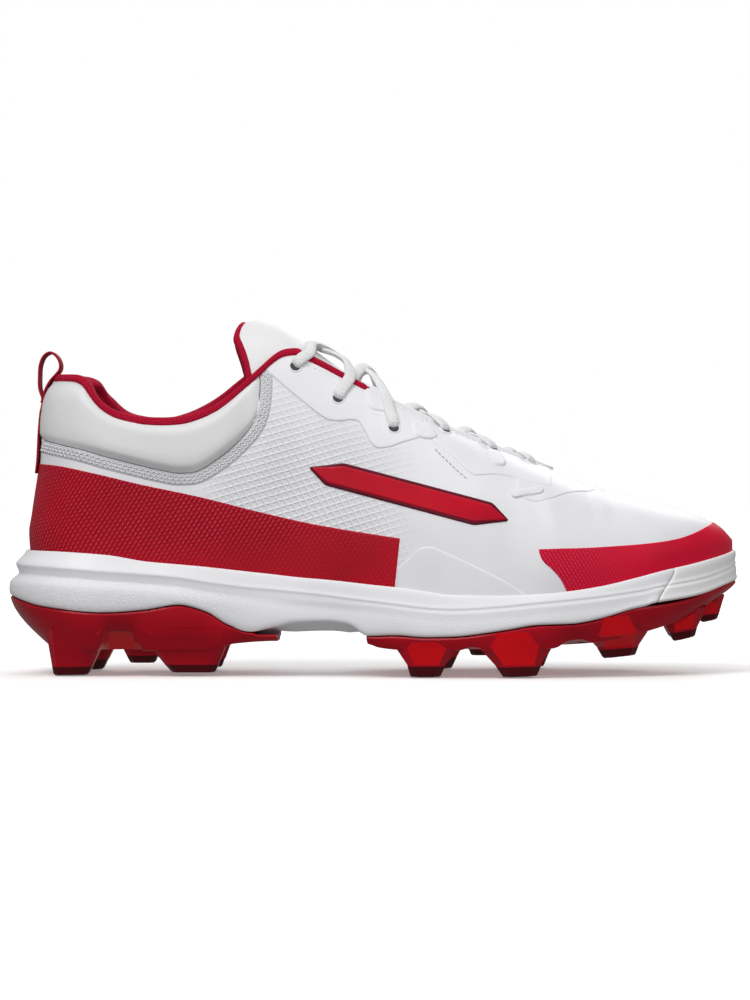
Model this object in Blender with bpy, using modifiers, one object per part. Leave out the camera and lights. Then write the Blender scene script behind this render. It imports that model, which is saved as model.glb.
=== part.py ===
"""Baseball cleat, right foot, drawn in millimetres and built in metres.

+X runs to the toe, -Y to the little-toe side, +Z up, origin on the ground under the middle of the shoe.
Every x in the tables is measured from the back of the heel; every z from the stud tips.
"""

import bpy
import bmesh
import math
import numpy as np
from mathutils import Matrix, Vector

# ---------------------------------------------------------------- driving sizes (mm)
LENGTH = 300.0  # back of the heel flare to the toe bumper
MID_X = 149.15  # the origin, from the back of the heel
MID_Y = 0.6  # the origin, from the middle line of the heel
HEEL_X = 7.2  # back of the upper at its belt
TOE_X = 297.3  # front of the upper at its belt
WALL = 2.0  # upper
COLLAR_PAD = 5.0  # foam behind the collar lining, on top of the wall
PAD_DROP = 26.0  # how far down the foam reaches
GAP = 0.3  # between pieces that meet
THROAT_END = 223.0
THROAT_TOP = 119.0  # corner between collar and throat
TONGUE_THICK = 4.6
TONGUE_BACK = 91.6
TONGUE_FRONT = 233.0
INSOLE_THICK = 4.2
LACE_WIDE = 4.6
LACE_THICK = 1.5
LOOP_WIDE = 14.0
LOOP_THICK = 1.3
BUMPER_X = 270.0  # seam between midsole and toe bumper
HEEL_PLATE_END = 110.0
FORE_PLATE_START = 146.5

# ---------------------------------------------------------------- section tables
# one row for each section of the last: half widths to the little-toe and big-toe side, height of
# the crown that the section closes at, and how square the section is
LAST_COLUMNS = ("x", "outer", "inner", "crown", "full")
LAST = (
    (7, 32.5, 32.5, 152, 2.3),
    (30, 34.0, 33.5, 152, 2.3),
    (60, 34.0, 32.5, 151, 2.3),
    (90, 33.0, 30.0, 150, 2.3),
    (110, 33.5, 29.5, 147, 2.2),
    (119, 34.5, 30.0, 142.5, 2.2),
    (140, 38.5, 32.5, 128, 2.2),
    (164, 44.0, 37.0, 112, 2.2),
    (182, 48.0, 41.0, 102, 2.2),
    (200, 50.0, 44.0, 93.5, 2.2),
    (215, 50.0, 45.0, 86.8, 2.2),
    (230, 48.0, 44.5, 80.3, 2.2),
    (245, 44.5, 42.5, 75.2, 2.25),
    (260, 40.5, 39.5, 71.4, 2.3),
    (272, 37.0, 37.0, 68.3, 2.35),
    (284, 34.0, 34.0, 64.2, 2.4),
    (292, 32.0, 32.0, 59.8, 2.4),
    (297.3, 31.0, 31.0, 54.4, 2.4),
)
# middle line of the last, which swings to the big toe
SPINE_COLUMNS = ("x", "y")
SPINE = ((0, 0), (110, 0), (160, 0.8), (200, 2.6), (250, 5.2), (300, 7.0))
# forward lean of the back of the heel
LEAN_COLUMNS = ("z", "forward")
LEAN = ((38, 1.2), (50, 0.5), (58, 0), (64, 0.9), (72, 2.1), (87, 4.2), (100, 4.9), (111, 6.2), (116, 8.0), (120, 10.5), (123, 12.8))
# collar line on the two sides, from the heel tab down into the dip and up to the throat corner
COLLAR_COLUMNS = ("x", "outer_z", "inner_z")
COLLAR = (
    (7, 122.3, 122.5),
    (18, 121.8, 122.2),
    (24, 120.2, 121.0),
    (28.8, 116.8, 118.4),
    (33.3, 112.8, 115.0),
    (36.7, 110.2, 113.0),
    (40.3, 108.2, 110.2),
    (43.3, 107.0, 108.2),
    (49.2, 105.6, 106.2),
    (57, 104.4, 105.2),
    (63, 104.2, 105.2),
    (70, 104.6, 106.8),
    (78.6, 106.9, 110.6),
    (85, 109.9, 114.6),
    (90, 113.4, 118.6),
    (95.6, 118.4, 123.0),
    (102.4, 124.4, 128.0),
    (108.6, 130.1, 131.9),
    (112.3, 132.2, 132.9),
    (119, 132.8, 133.4),
)
# half width of the gap between the eyestays
THROAT_COLUMNS = ("x", "half_gap")
THROAT = ((119, 17.5), (140, 17.5), (165, 16.5), (185, 15.0), (200, 13.0), (211, 10.0), (218, 6.6), (221.5, 3.4), (223, 0))
# side-view heights: top of the midsole rim, ledge under it, footbed, underside of the midsole
SOLE_COLUMNS = ("x", "rim", "ledge", "footbed", "under")
SOLE = (
    (7, 50.6, 44.6, 38.0, 31.8),
    (19, 50.4, 43.9, 37.4, 27.9),
    (41, 49.0, 42.1, 36.2, 25.6),
    (57, 46.4, 41.0, 35.3, 26.7),
    (70, 45.2, 39.8, 34.7, 28.6),
    (81, 44.2, 38.0, 34.2, 25.9),
    (90, 43.2, 36.8, 33.8, 20.6),
    (99, 42.2, 35.7, 33.4, 17.7),
    (110, 41.0, 34.8, 32.6, 19.8),
    (118, 40.1, 34.0, 31.9, 21.4),
    (130, 39.1, 32.8, 30.7, 21.8),
    (139, 38.2, 31.6, 29.7, 20.8),
    (147, 37.3, 30.7, 28.6, 16.2),
    (158, 36.2, 29.4, 27.2, 16.6),
    (170, 34.6, 28.0, 26.0, 15.9),
    (181, 33.2, 27.5, 25.3, 16.2),
    (200, 33.0, 28.6, 25.2, 18.6),
    (215, 33.6, 30.1, 25.9, 20.9),
    (228, 34.8, 31.3, 27.2, 21.3),
    (240, 36.6, 32.6, 29.0, 23.4),
    (255, 40.0, 34.6, 32.0, 27.4),
    (268, 43.2, 36.6, 35.2, 29.0),
    (277, 45.0, 38.4, 37.4, 30.8),
    (285, 46.9, 40.4, 39.4, 33.4),
    (293, 49.0, 43.0, 41.6, 36.2),
    (300, 51.5, 46.0, 43.8, 38.3),
)
# how far ledge, groove and bulge stand out from the upper, and the rake of the outsole's edge
WALL_COLUMNS = ("x", "ledge_out", "groove_out", "bulge_out", "rake")
SIDEWALL = (
    (7, 5.9, 4.6, 8.6, 16.5),
    (20, 5.4, 4.2, 7.6, 10.0),
    (40, 4.6, 3.6, 6.4, 6.0),
    (70, 3.8, 3.0, 5.2, 5.0),
    (100, 3.2, 2.8, 3.6, 4.0),
    (130, 2.8, 2.6, 2.6, 3.0),
    (160, 3.0, 3.0, 3.4, 3.0),
    (200, 3.2, 3.4, 3.8, 3.0),
    (240, 2.8, 3.0, 3.4, 4.0),
    (275, 2.2, 2.4, 2.8, 6.0),
    (300, 1.9, 2.0, 2.4, 7.0),
)
# bottom face of the two outsole plates
TREAD_COLUMNS = ("x", "z")
TREAD = (
    (-5, 13.0), (8, 11.5), (20, 10.2), (85, 10.4), (92, 13.0), (111, 14.2), (146, 13.4), (151, 11.8), (160, 11.0), (212, 11.0),
    (225, 12.2), (240, 14.0), (255, 16.8), (270, 20.4), (284, 25.2), (292, 29.8), (300, 33.0),
)
# arch cut in the heel plate's edge between its studs: where it rises and falls, and how far
HEEL_NOTCH = (37.5, 42.0, 51.0, 55.5)
HEEL_NOTCH_UP = 7.6
# studs: tip and root from back to front, side position, half widths, heights of tip and root above the ground
STUD_COLUMNS = ("plate", "tip_x0", "tip_x1", "root_x0", "root_x1", "y", "tip_half", "root_half", "tip_z", "root_z")
STUDS = (
    ("heel", 18.9, 33.1, 16.2, 41.0, -21.5, 6.0, 9.5, 0.0, 17.5),
    ("heel", 21.5, 36.0, 17.0, 44.0, 21.5, 6.0, 9.5, 0.0, 17.5),
    ("heel", 48.5, 59.0, 45.0, 62.0, 0.0, 7.0, 10.0, 4.0, 12.4),
    ("heel", 66.8, 84.8, 54.2, 91.2, -23.5, 5.5, 9.0, 1.2, 17.5),
    ("heel", 68.5, 85.6, 57.0, 91.4, 20.5, 5.5, 9.0, 1.2, 17.5),
    ("fore", 163.6, 176.2, 158.0, 181.6, -37.0, 5.5, 8.5, 0.0, 13.2),
    ("fore", 200.4, 214.9, 191.6, 220.0, -39.0, 6.0, 8.8, 0.0, 13.2),
    ("fore", 241.6, 255.5, 236.0, 259.5, -26.0, 5.5, 8.0, 7.4, 17.4),
    ("fore", 168.0, 182.0, 163.0, 187.0, 31.0, 5.5, 8.5, 0.0, 13.2),
    ("fore", 206.0, 221.0, 201.0, 226.0, 38.0, 6.0, 8.8, 0.0, 13.3),
    ("fore", 245.0, 258.5, 240.5, 262.5, 32.0, 5.5, 8.0, 7.8, 18.3),
    ("fore", 271.0, 280.4, 267.0, 284.0, -13.0, 5.0, 7.2, 14.0, 24.4),
    ("fore", 272.0, 282.0, 268.0, 285.5, 21.0, 5.0, 7.2, 14.4, 24.7),
    ("fore", 189.0, 197.0, 186.0, 200.0, 1.0, 6.0, 8.6, 7.0, 13.2),
    ("fore", 226.0, 240.0, 223.5, 242.5, 4.0, 6.0, 8.0, 11.2, 15.4),
    ("fore", 284.6, 291.2, 281.0, 293.6, 6.0, 6.0, 9.0, 20.8, 29.1),
)
STUD_COLUMN = {name: i for i, name in enumerate(STUD_COLUMNS)}
# top line of the tongue
CREST_COLUMNS = ("x", "z")
CREST = ((91, 143.0), (94, 145.4), (98, 146.4), (102.5, 145.4), (108, 142.8), (114, 139.0), (120, 135.0), (130, 128.4), (146, 119.0), (164, 108.6), (182, 98.8), (200, 90.4), (233, 75.4))
TONGUE_COLUMNS = ("x", "half_width")
TONGUE = ((91, 20.0), (98, 23.5), (119, 25.5), (160, 27.0), (200, 25.5), (225, 21.0), (233, 17.0))
# lace holes in each eyestay, from the top
EYELETS = (117.0, 134.4, 157.0, 178.0, 197.5, 213.5)
EYELET_IN = 6.5  # hole centre back from the throat edge
# middle line of the heel pull loop above the collar
LOOP_COLUMNS = ("x", "z")
LOOP = ((11.3, 116.5), (10.9, 122.0), (11.6, 126.8), (13.4, 130.3), (15.9, 131.4), (18.2, 130.0), (19.4, 127.0), (20.0, 124.3))
LOOP_FOOT = 84.0  # lower end of the tape on the heel


# ---------------------------------------------------------------- curves from the tables
def smooth(table, columns, name, x):
    """Monotone cubic through one named column of a table, over its first column."""
    k = columns.index(name)
    xs = np.array([row[0] for row in table], float)
    ys = np.array([row[k] for row in table], float)
    h = np.diff(xs)
    d = np.diff(ys) / h
    m = np.zeros(len(xs))
    same = d[1:] * d[:-1] > 0
    w1, w2 = 2 * h[1:] + h[:-1], h[1:] + 2 * h[:-1]
    safe = np.where(same, d[1:] * d[:-1], 1.0)
    m[1:-1] = np.where(same, (w1 + w2) * safe / (w1 * d[1:] + w2 * d[:-1] + (~same) * 1e9), 0.0)
    m[0], m[-1] = d[0], d[-1]
    x = min(max(float(x), xs[0]), xs[-1])
    i = int(min(max(np.searchsorted(xs, x) - 1, 0), len(h) - 1))
    t = (x - xs[i]) / h[i]
    return float(
        ys[i] * (1 + 2 * t) * (1 - t) ** 2 + m[i] * h[i] * t * (1 - t) ** 2 + ys[i + 1] * t * t * (3 - 2 * t) + m[i + 1] * h[i] * t * t * (t - 1)
    )


def last(name, x):
    return smooth(LAST, LAST_COLUMNS, name, x)


def sole(name, x):
    return smooth(SOLE, SOLE_COLUMNS, name, x)


def sidewall(name, x):
    return smooth(SIDEWALL, WALL_COLUMNS, name, x)


def ease(a, b, x):
    t = min(max((x - a) / (b - a), 0.0), 1.0)
    return t * t * (3 - 2 * t)


def round_end(d, reach, power):
    s = 1 - min(max(d, 0.0) / reach, 1.0)
    return (1 - s**power) ** (1 / power)


def half_width(x, side):
    """Half width of the upper at its belt; side is -1 for the little toe and 1 for the big toe."""
    w = last("outer" if side < 0 else "inner", x)
    toe = round_end(TOE_X - x, 42.0 if side < 0 else 33.0, 2.05)
    return w * round_end(x - HEEL_X, 31.0, 2.15) * toe


def spine(x):
    return smooth(SPINE, SPINE_COLUMNS, "y", x)


def belt(x):
    """Height where the upper is widest, a little over the midsole rim."""
    return sole("rim", x) + 3.0 - 1.6 * ease(270, 297, x)


def upper_z(x, y):
    side = -1 if y < spine(x) else 1
    w, n, b = half_width(x, side), last("full", x), belt(x)
    q = min(abs(y - spine(x)) / max(w, 1e-6), 1.0)
    return b + (last("crown", x) - b) * (1 - q**n) ** (1 / n)


def top_angle(x, side):
    """Angle on the section at which the collar or the throat cuts it; a right angle is the crown."""
    n, b, crown = last("full", x), belt(x), last("crown", x)
    if x >= THROAT_END - 1e-6:
        return math.pi / 2
    if x > THROAT_TOP:
        gap = smooth(THROAT, THROAT_COLUMNS, "half_gap", x)
        return math.acos(min(gap / half_width(x, side), 1.0) ** (n / 2))
    z = smooth(COLLAR, COLLAR_COLUMNS, "outer_z" if side < 0 else "inner_z", x)
    return math.asin(((z - b) / (crown - b)) ** (n / 2))


def upper_point(x, side, row, rows_low, rows):
    """Point on the outside of the upper; rows run up from the lower edge inside the midsole."""
    n, b, crown = last("full", x), belt(x), last("crown", x)
    w = half_width(x, side)
    if row <= rows_low:
        low = sole("footbed", x) + GAP + 0.1
        z = low + (b - low) * row / rows_low
        y = w * (1 - 0.045 * ((b - z) / (b - low)) ** 2)
    else:
        a = top_angle(x, side) * (row - rows_low) / (rows - rows_low)
        z = b + (crown - b) * math.sin(a) ** (2 / n)
        y = w * max(math.cos(a), 0.0) ** (2 / n)
    heel = 1 - ease(HEEL_X, 62.0, x)
    lean = smooth(LEAN, LEAN_COLUMNS, "forward", z) * heel
    return (x + lean, spine(x) + side * y, z)


def wall_at(x, side, z):
    """Thickness of the upper: thin, with foam behind the collar."""
    if x > THROAT_TOP:
        return WALL
    top = smooth(COLLAR, COLLAR_COLUMNS, "outer_z" if side < 0 else "inner_z", x)
    down = top - z
    foam = ease(PAD_DROP, 9.0, down) * (1 - 0.45 * ease(6.0, 0.0, down))
    return WALL + COLLAR_PAD * foam * (1 - ease(76.0, 106.0, x))


def tongue_z(x, y):
    """Top of the tongue: its own low dome, held under the inside of the upper."""
    step = 0.05
    slope = (upper_z(x, y + step) - upper_z(x, y - step)) / (2 * step)
    inside = WALL + 1.5 + COLLAR_PAD * (1 - ease(76.0, 106.0, x))
    lid = upper_z(x, y) - inside * math.sqrt(1 + slope * slope)
    dome = smooth(CREST, CREST_COLUMNS, "z", x) - (0.020 + 0.014 * ease(125, 95, x)) * (y - spine(x)) ** 2
    soft = 1.2
    return -soft * math.log(math.exp(-(dome - lid) / soft) + 1) + lid if dome - lid > -30 else dome


def spread(parts):
    """Stations from rows of (start, end, count, kind): even steps, or closer steps at one end."""
    out = []
    for start, end, count, kind in parts:
        for i in range(count):
            t = i / count
            if kind == "from_end":
                t = 1 - math.cos(t * math.pi / 2)
            elif kind == "to_end":
                t = math.sin(t * math.pi / 2)
            out.append(start + (end - start) * t)
    return out + [parts[-1][1]]


# ---------------------------------------------------------------- scene helpers
def clear():
    for obj in list(bpy.data.objects):
        bpy.data.objects.remove(obj, do_unlink=True)


def collection(name):
    col = bpy.data.collections.new(name)
    bpy.context.scene.collection.children.link(col)
    return col


def material(name, colour, rough, metallic=0.0):
    mat = bpy.data.materials.new(name)
    mat.use_nodes = True
    bsdf = mat.node_tree.nodes["Principled BSDF"]
    bsdf.inputs["Base Color"].default_value = (*colour, 1)
    bsdf.inputs["Roughness"].default_value = rough
    bsdf.inputs["Metallic"].default_value = metallic
    mat.diffuse_color = (*colour, 1)
    return mat


def to_world(p):
    return Vector(((p[0] - MID_X) / 1000, (p[1] - MID_Y) / 1000, p[2] / 1000))


def finish(name, bm, col, mat, weld=2e-6, smooth_angle=40):
    bmesh.ops.remove_doubles(bm, verts=bm.verts, dist=weld)
    bmesh.ops.dissolve_degenerate(bm, edges=bm.edges, dist=1e-7)
    bmesh.ops.recalc_face_normals(bm, faces=bm.faces)
    mesh = bpy.data.meshes.new(name)
    bm.to_mesh(mesh)
    bm.free()
    obj = bpy.data.objects.new(name, mesh)
    col.objects.link(obj)
    mesh.materials.append(mat)
    mesh.shade_smooth()
    mesh.set_sharp_from_angle(angle=math.radians(smooth_angle))
    return obj


def loft(name, rings, col, mat, cap_start, cap_end, closed=True, smooth_angle=40):
    """Skin over a list of rings of points, with flat caps where asked."""
    bm = bmesh.new()
    grid = [[bm.verts.new(to_world(p)) for p in ring] for ring in rings]
    n = len(rings[0])
    for a, b in zip(grid, grid[1:]):
        for i in range(n if closed else n - 1):
            j = (i + 1) % n
            bm.faces.new((a[i], a[j], b[j], b[i]))
    if cap_start:
        bm.faces.new(grid[0])
    if cap_end:
        bm.faces.new(grid[-1])
    return finish(name, bm, col, mat, smooth_angle=smooth_angle)


def plan_edge(x, side, out):
    """Plan point a distance out from the belt of the upper, square to its outline."""
    step = 0.02
    lo, hi = max(x - step, HEEL_X), min(x + step, TOE_X)
    if x - HEEL_X < 1e-4:
        nx, ny = -1.0, 0.0
    elif TOE_X - x < 1e-4:
        nx, ny = 1.0, 0.0
    else:
        ya = spine(lo) + side * half_width(lo, side)
        yb = spine(hi) + side * half_width(hi, side)
        tx, ty = hi - lo, yb - ya
        size = math.hypot(tx, ty)
        nx, ny = -side * ty / size, side * tx / size
    return x + nx * out, spine(x) + side * half_width(x, side) + ny * out


# ---------------------------------------------------------------- pieces
def make_upper(col, mat):
    stations = spread(
        (
            (HEEL_X, 34.0, 6, "from_end"),
            (34.0, THROAT_TOP, 9, "even"),
            (THROAT_TOP, 205.0, 6, "even"),
            (205.0, THROAT_END, 4, "to_end"),
            (THROAT_END, 262.0, 4, "even"),
            (262.0, TOE_X, 7, "to_end"),
        )
    )
    rows_low, rows = 2, 11
    bm = bmesh.new()
    weight = bm.verts.layers.deform.verify()
    full = WALL + COLLAR_PAD
    for side in (-1, 1):
        grid = []
        for x in stations:
            line = []
            for row in range(rows + 1):
                p = upper_point(x, side, row, rows_low, rows)
                v = bm.verts.new(to_world(p))
                v[weight][0] = wall_at(x, side, p[2]) / full
                line.append(v)
            grid.append(line)
        for a, b in zip(grid, grid[1:]):
            for i in range(rows):
                face = (a[i], b[i], b[i + 1], a[i + 1])
                bm.faces.new(face if side < 0 else face[::-1])
    bmesh.ops.remove_doubles(bm, verts=bm.verts, dist=3e-6)
    mesh = bpy.data.meshes.new("upper")
    bm.to_mesh(mesh)
    bm.free()
    obj = bpy.data.objects.new("upper", mesh)
    col.objects.link(obj)
    obj.vertex_groups.new(name="wall")
    mesh.materials.append(mat)
    mesh.shade_smooth()
    mod = obj.modifiers.new("wall", "SOLIDIFY")
    mod.thickness = full / 1000
    mod.offset = -1
    mod.vertex_group = "wall"
    mod.use_even_offset = False
    mod.use_rim = True
    return obj


HEEL_STATIONS = ((HEEL_X, 36.0, 6, "from_end"), (36.0, 57.0, 7, "even"), (57.0, HEEL_PLATE_END, 6, "even"))
ARCH_STATIONS = ((HEEL_PLATE_END, FORE_PLATE_START, 4, "even"),)
FORE_STATIONS = ((FORE_PLATE_START, 262.0, 10, "even"), (262.0, TOE_X, 6, "to_end"))


def midsole_profile(x, side):
    """One side of the midsole section, from the underside out and up, over the rim and into the cup."""
    out = []
    under, ledge, rim, bed = (sole(n, x) for n in ("under", "ledge", "rim", "footbed"))
    bulge, groove, shelf = (sidewall(n, x) for n in ("bulge_out", "groove_out", "ledge_out"))
    groove_z = ledge - 3.4 + 1.2 * ease(110, 150, x)
    bulge_z = max(groove_z - 4.0, under + 2.0)
    arch = ease(102, 118, x) * ease(146.5, 137, x)
    levels = (
        (-9.0, under + GAP - 4.0 * arch),
        (bulge - 1.0, under + GAP),
        (bulge, max(under + 1.4, (under + bulge_z) / 2 - 1)),
        (bulge - 0.2, bulge_z),
        (groove, groove_z),
        (shelf, ledge),
        (1.5, rim),
        (0.35, rim - 0.2),
        (0.35, bed),
    )
    for d, z in levels:
        px, py = plan_edge(x, side, d)
        out.append((px, py, z))
    return out


def make_midsole(col, mat, cutters):
    rings = []
    for x in spread(HEEL_STATIONS + ARCH_STATIONS + FORE_STATIONS):
        a, b = midsole_profile(x, -1), midsole_profile(x, 1)
        rings.append(a + b[::-1])
    whole = loft("midsole", rings, col, mat, False, False)
    return whole


def cutter_box(name, x0, x1, cutters):
    bm = bmesh.new()
    bmesh.ops.create_cube(bm, size=1.0)
    bmesh.ops.scale(bm, vec=Vector(((x1 - x0) / 1000, 0.3, 0.3)), verts=bm.verts)
    bmesh.ops.translate(bm, vec=to_world(((x0 + x1) / 2, 0, 40)), verts=bm.verts)
    mesh = bpy.data.meshes.new(name)
    bm.to_mesh(mesh)
    bm.free()
    obj = bpy.data.objects.new(name, mesh)
    cutters.objects.link(obj)
    obj.hide_render = True
    obj.display_type = "WIRE"
    return obj


def cut(obj, cutter):
    mod = obj.modifiers.new("cut_" + cutter.name, "BOOLEAN")
    mod.object = cutter
    mod.operation = "DIFFERENCE"
    mod.solver = "EXACT"


def plate_profile(x, side):
    top, low = sole("under", x), smooth(TREAD, TREAD_COLUMNS, "z", x)
    if HEEL_PLATE_END - 10 < x < HEEL_PLATE_END + 1:
        top = min(top, 16.9)
    bulge, rake = sidewall("bulge_out", x), sidewall("rake", x)
    px, py = plan_edge(x, side, -9.0)
    out = [(px, py, top - 0.25)]
    edge = low + HEEL_NOTCH_UP * ease(*HEEL_NOTCH[:2], x) * ease(*HEEL_NOTCH[:1:-1], x)
    for s in (0.0, 0.3, 0.65, 1.0):
        px, py = plan_edge(x, side, bulge - 0.9 * (s == 0) - rake * s**1.6)
        out.append((px, py, top - 0.1 + (edge - top) * s))
    if x < HEEL_PLATE_END + 1:
        for inward, z in ((4.0, edge - 0.1), (9.0, low)):
            px, py = plan_edge(x, side, bulge - rake - inward)
            out.append((px, py, z))
    return out


def make_plate(name, stations, col, mat):
    rings = [plate_profile(x, -1) + plate_profile(x, 1)[::-1] for x in stations]
    heel = name.endswith("heel")
    return loft(name, rings, col, mat, not heel, heel, smooth_angle=30)


def make_stud(row, col, mat, index):
    """A chunky eight-sided stud, narrowing from its root in the plate to a flat tip."""
    get = lambda name: row[STUD_COLUMN[name]]
    deep = get("root_z")
    bm = bmesh.new()
    bmesh.ops.create_cone(bm, cap_ends=True, cap_tris=False, segments=8, radius1=1.0, radius2=1.0, depth=1.0)
    bmesh.ops.rotate(bm, cent=(0, 0, 0), matrix=Matrix.Rotation(math.radians(22.5), 3, "Z"), verts=bm.verts)
    grow = 1 / math.cos(math.radians(22.5))
    for v in bm.verts:
        root = v.co.z > 0
        x0, x1 = (get("root_x0"), get("root_x1")) if root else (get("tip_x0"), get("tip_x1"))
        half = get("root_half") if root else get("tip_half")
        v.co = to_world(((x0 + x1) / 2 + v.co.x * grow * (x1 - x0) / 2, get("y") + v.co.y * grow * half, deep if root else get("tip_z")))
    return finish(f"stud_{index:02d}", bm, col, mat, smooth_angle=20)


def make_outsoles(col, mat, cutters):
    heel = make_plate("outsole_heel", spread(HEEL_STATIONS), col, mat)
    fore = make_plate("outsole_forefoot", spread(FORE_STATIONS), col, mat)
    for i, row in enumerate(STUDS):
        stud = make_stud(row, cutters, mat, i)
        stud.hide_render = True
        stud.display_type = "WIRE"
        mod = (heel if row[0] == "heel" else fore).modifiers.new(stud.name, "BOOLEAN")
        mod.object = stud
        mod.operation = "UNION"
        mod.solver = "EXACT"
    return heel, fore


def make_insole(col, mat):
    rings = []
    for x in spread(((HEEL_X, 36.0, 5, "from_end"), (36.0, 262.0, 12, "even"), (262.0, TOE_X, 5, "to_end"))):
        sides = []
        for side in (-1, 1):
            line = []
            for d, up in ((-6.4, GAP), (-4.9, GAP + 0.8), (-4.9, GAP + INSOLE_THICK + 1.4), (-6.4, GAP + INSOLE_THICK + 1.4), (-13.0, GAP + INSOLE_THICK)):
                px, py = plan_edge(x, side, d)
                line.append((px, py, sole("footbed", x) + up))
            sides.append(line)
        rings.append(sides[0] + sides[1][::-1])
    return loft("insole", rings, col, mat, False, False)


def make_tongue(col, mat):
    bm = bmesh.new()
    grid = []
    across = 12
    for x in spread(((TONGUE_BACK, 100.0, 3, "from_end"), (100.0, TONGUE_FRONT, 14, "even"))):
        half = smooth(TONGUE, TONGUE_COLUMNS, "half_width", x)
        line = []
        for i in range(across + 1):
            y = spine(x) + half * (2 * i / across - 1)
            line.append(bm.verts.new(to_world((x, y, tongue_z(x, y)))))
        grid.append(line)
    for a, b in zip(grid, grid[1:]):
        for i in range(across):
            bm.faces.new((a[i], b[i], b[i + 1], a[i + 1]))
    mesh = bpy.data.meshes.new("tongue")
    bmesh.ops.recalc_face_normals(bm, faces=bm.faces)
    if sum(f.normal.z for f in bm.faces) < 0:
        bmesh.ops.reverse_faces(bm, faces=bm.faces)
    bm.to_mesh(mesh)
    bm.free()
    obj = bpy.data.objects.new("tongue", mesh)
    col.objects.link(obj)
    mesh.materials.append(mat)
    mesh.shade_smooth()
    mod = obj.modifiers.new("foam", "SOLIDIFY")
    mod.thickness = TONGUE_THICK / 1000
    mod.offset = -1
    mod.use_even_offset = False
    return obj


def lace_point(start, end, t):
    """Middle of a lace band that runs over the tongue from one eyelet to another."""
    x = start[0] + (end[0] - start[0]) * t
    y = start[1] + (end[1] - start[1]) * t
    gap = smooth(THROAT, THROAT_COLUMNS, "half_gap", x)
    s = spine(x)
    lift = GAP + LACE_THICK / 2 + 0.75
    rim = upper_z(x, s - gap) + lift
    if abs(y - s) >= gap:
        slope = (upper_z(x, y + 0.05) - upper_z(x, y - 0.05)) / 0.1
        return Vector((x, y, upper_z(x, y) + lift * math.sqrt(1 + slope * slope)))
    crest = max(tongue_z(x, s) + lift + 0.2, rim + 0.6)
    return Vector((x, y, crest + (rim + 0.3 - crest) * (abs(y - s) / gap) ** 2))


def make_lace_run(name, start_side, col, mat):
    path = []
    side = start_side
    for i, (xa, xb) in enumerate(zip(EYELETS, EYELETS[1:])):
        ends = []
        for x, sgn in ((xa, side), (xb, -side)):
            gap = smooth(THROAT, THROAT_COLUMNS, "half_gap", x)
            ends.append((x, spine(x) + sgn * (gap + EYELET_IN)))
        steps = 10
        for k in range(steps + (i == len(EYELETS) - 2)):
            path.append(lace_point(ends[0], ends[1], k / steps))
        side = -side
    rings = []
    for i, p in enumerate(path):
        along = (path[min(i + 1, len(path) - 1)] - path[max(i - 1, 0)]).normalized()
        across = Vector((1, 0, 0)) if abs(along.x) < 0.9 else Vector((0, 1, 0))
        slope = (upper_z(p.x, p.y + 0.5) - upper_z(p.x, p.y - 0.5)) * 0.5
        up = Vector((0.45, -slope * 0.75, 1.0))
        up = (up - along * up.dot(along)).normalized()
        across = up.cross(along).normalized()
        ring = []
        for k in range(8):
            a = math.tau * (k + 0.5) / 8
            ring.append(p + across * (LACE_WIDE / 2 * math.cos(a)) + up * (LACE_THICK / 2 * math.sin(a)))
        rings.append(ring)
    return loft(name, rings, col, mat, True, True)


def make_laces(col, mat, cutters):
    first = make_lace_run("laces", -1, col, mat)
    other = make_lace_run("lace_second_run", 1, cutters, mat)
    other.hide_render = True
    other.display_type = "WIRE"
    mod = first.modifiers.new("crossings", "BOOLEAN")
    mod.object = other
    mod.operation = "UNION"
    mod.solver = "EXACT"
    return first


def make_loop(col, mat):
    path = []
    z = LOOP_FOOT
    while z < 112.5:
        path.append((HEEL_X + smooth(LEAN, LEAN_COLUMNS, "forward", z) - GAP - LOOP_THICK / 2 - 0.15, z))
        z += 5.0
    path += list(LOOP)
    bm = bmesh.new()
    grid = [[bm.verts.new(to_world((x, y, z))) for y in (-LOOP_WIDE / 2, -LOOP_WIDE / 6, LOOP_WIDE / 6, LOOP_WIDE / 2)] for x, z in path]
    for a, b in zip(grid, grid[1:]):
        for i in range(3):
            bm.faces.new((a[i], a[i + 1], b[i + 1], b[i]))
    mesh = bpy.data.meshes.new("pull_loop")
    bm.to_mesh(mesh)
    bm.free()
    obj = bpy.data.objects.new("pull_loop", mesh)
    col.objects.link(obj)
    mesh.materials.append(mat)
    mesh.shade_smooth()
    mod = obj.modifiers.new("tape", "SOLIDIFY")
    mod.thickness = LOOP_THICK / 1000
    mod.offset = 0
    return obj


def main():
    clear()
    col = collection("baseball_cleat")
    cutters = collection("cutters")
    white = material("upper_white", (0.86, 0.86, 0.88), 0.5)
    foam = material("midsole_white", (0.84, 0.84, 0.87), 0.55)
    tip = material("bumper_white", (0.86, 0.85, 0.84), 0.5)
    red = material("outsole_red", (0.36, 0.01, 0.025), 0.35)
    lining = material("insole_fabric", (0.6, 0.02, 0.07), 0.9)
    knit = material("tongue_white", (0.85, 0.85, 0.87), 0.75)
    cord = material("lace_white", (0.88, 0.88, 0.9), 0.8)
    tape = material("loop_red", (0.55, 0.01, 0.05), 0.7)

    make_upper(col, white)
    full = make_midsole(col, foam, cutters)
    front = full.copy()
    front.data = full.data.copy()
    front.name = "toe_bumper"
    front.data.materials[0] = tip
    col.objects.link(front)
    cut(full, cutter_box("midsole_front_cut", BUMPER_X - GAP / 2, 330.0, cutters))
    cut(front, cutter_box("bumper_back_cut", -30.0, BUMPER_X + GAP / 2, cutters))
    make_outsoles(col, red, cutters)
    make_insole(col, lining)
    make_tongue(col, knit)
    make_laces(col, cord, cutters)
    make_loop(col, tape)


main()
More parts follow.
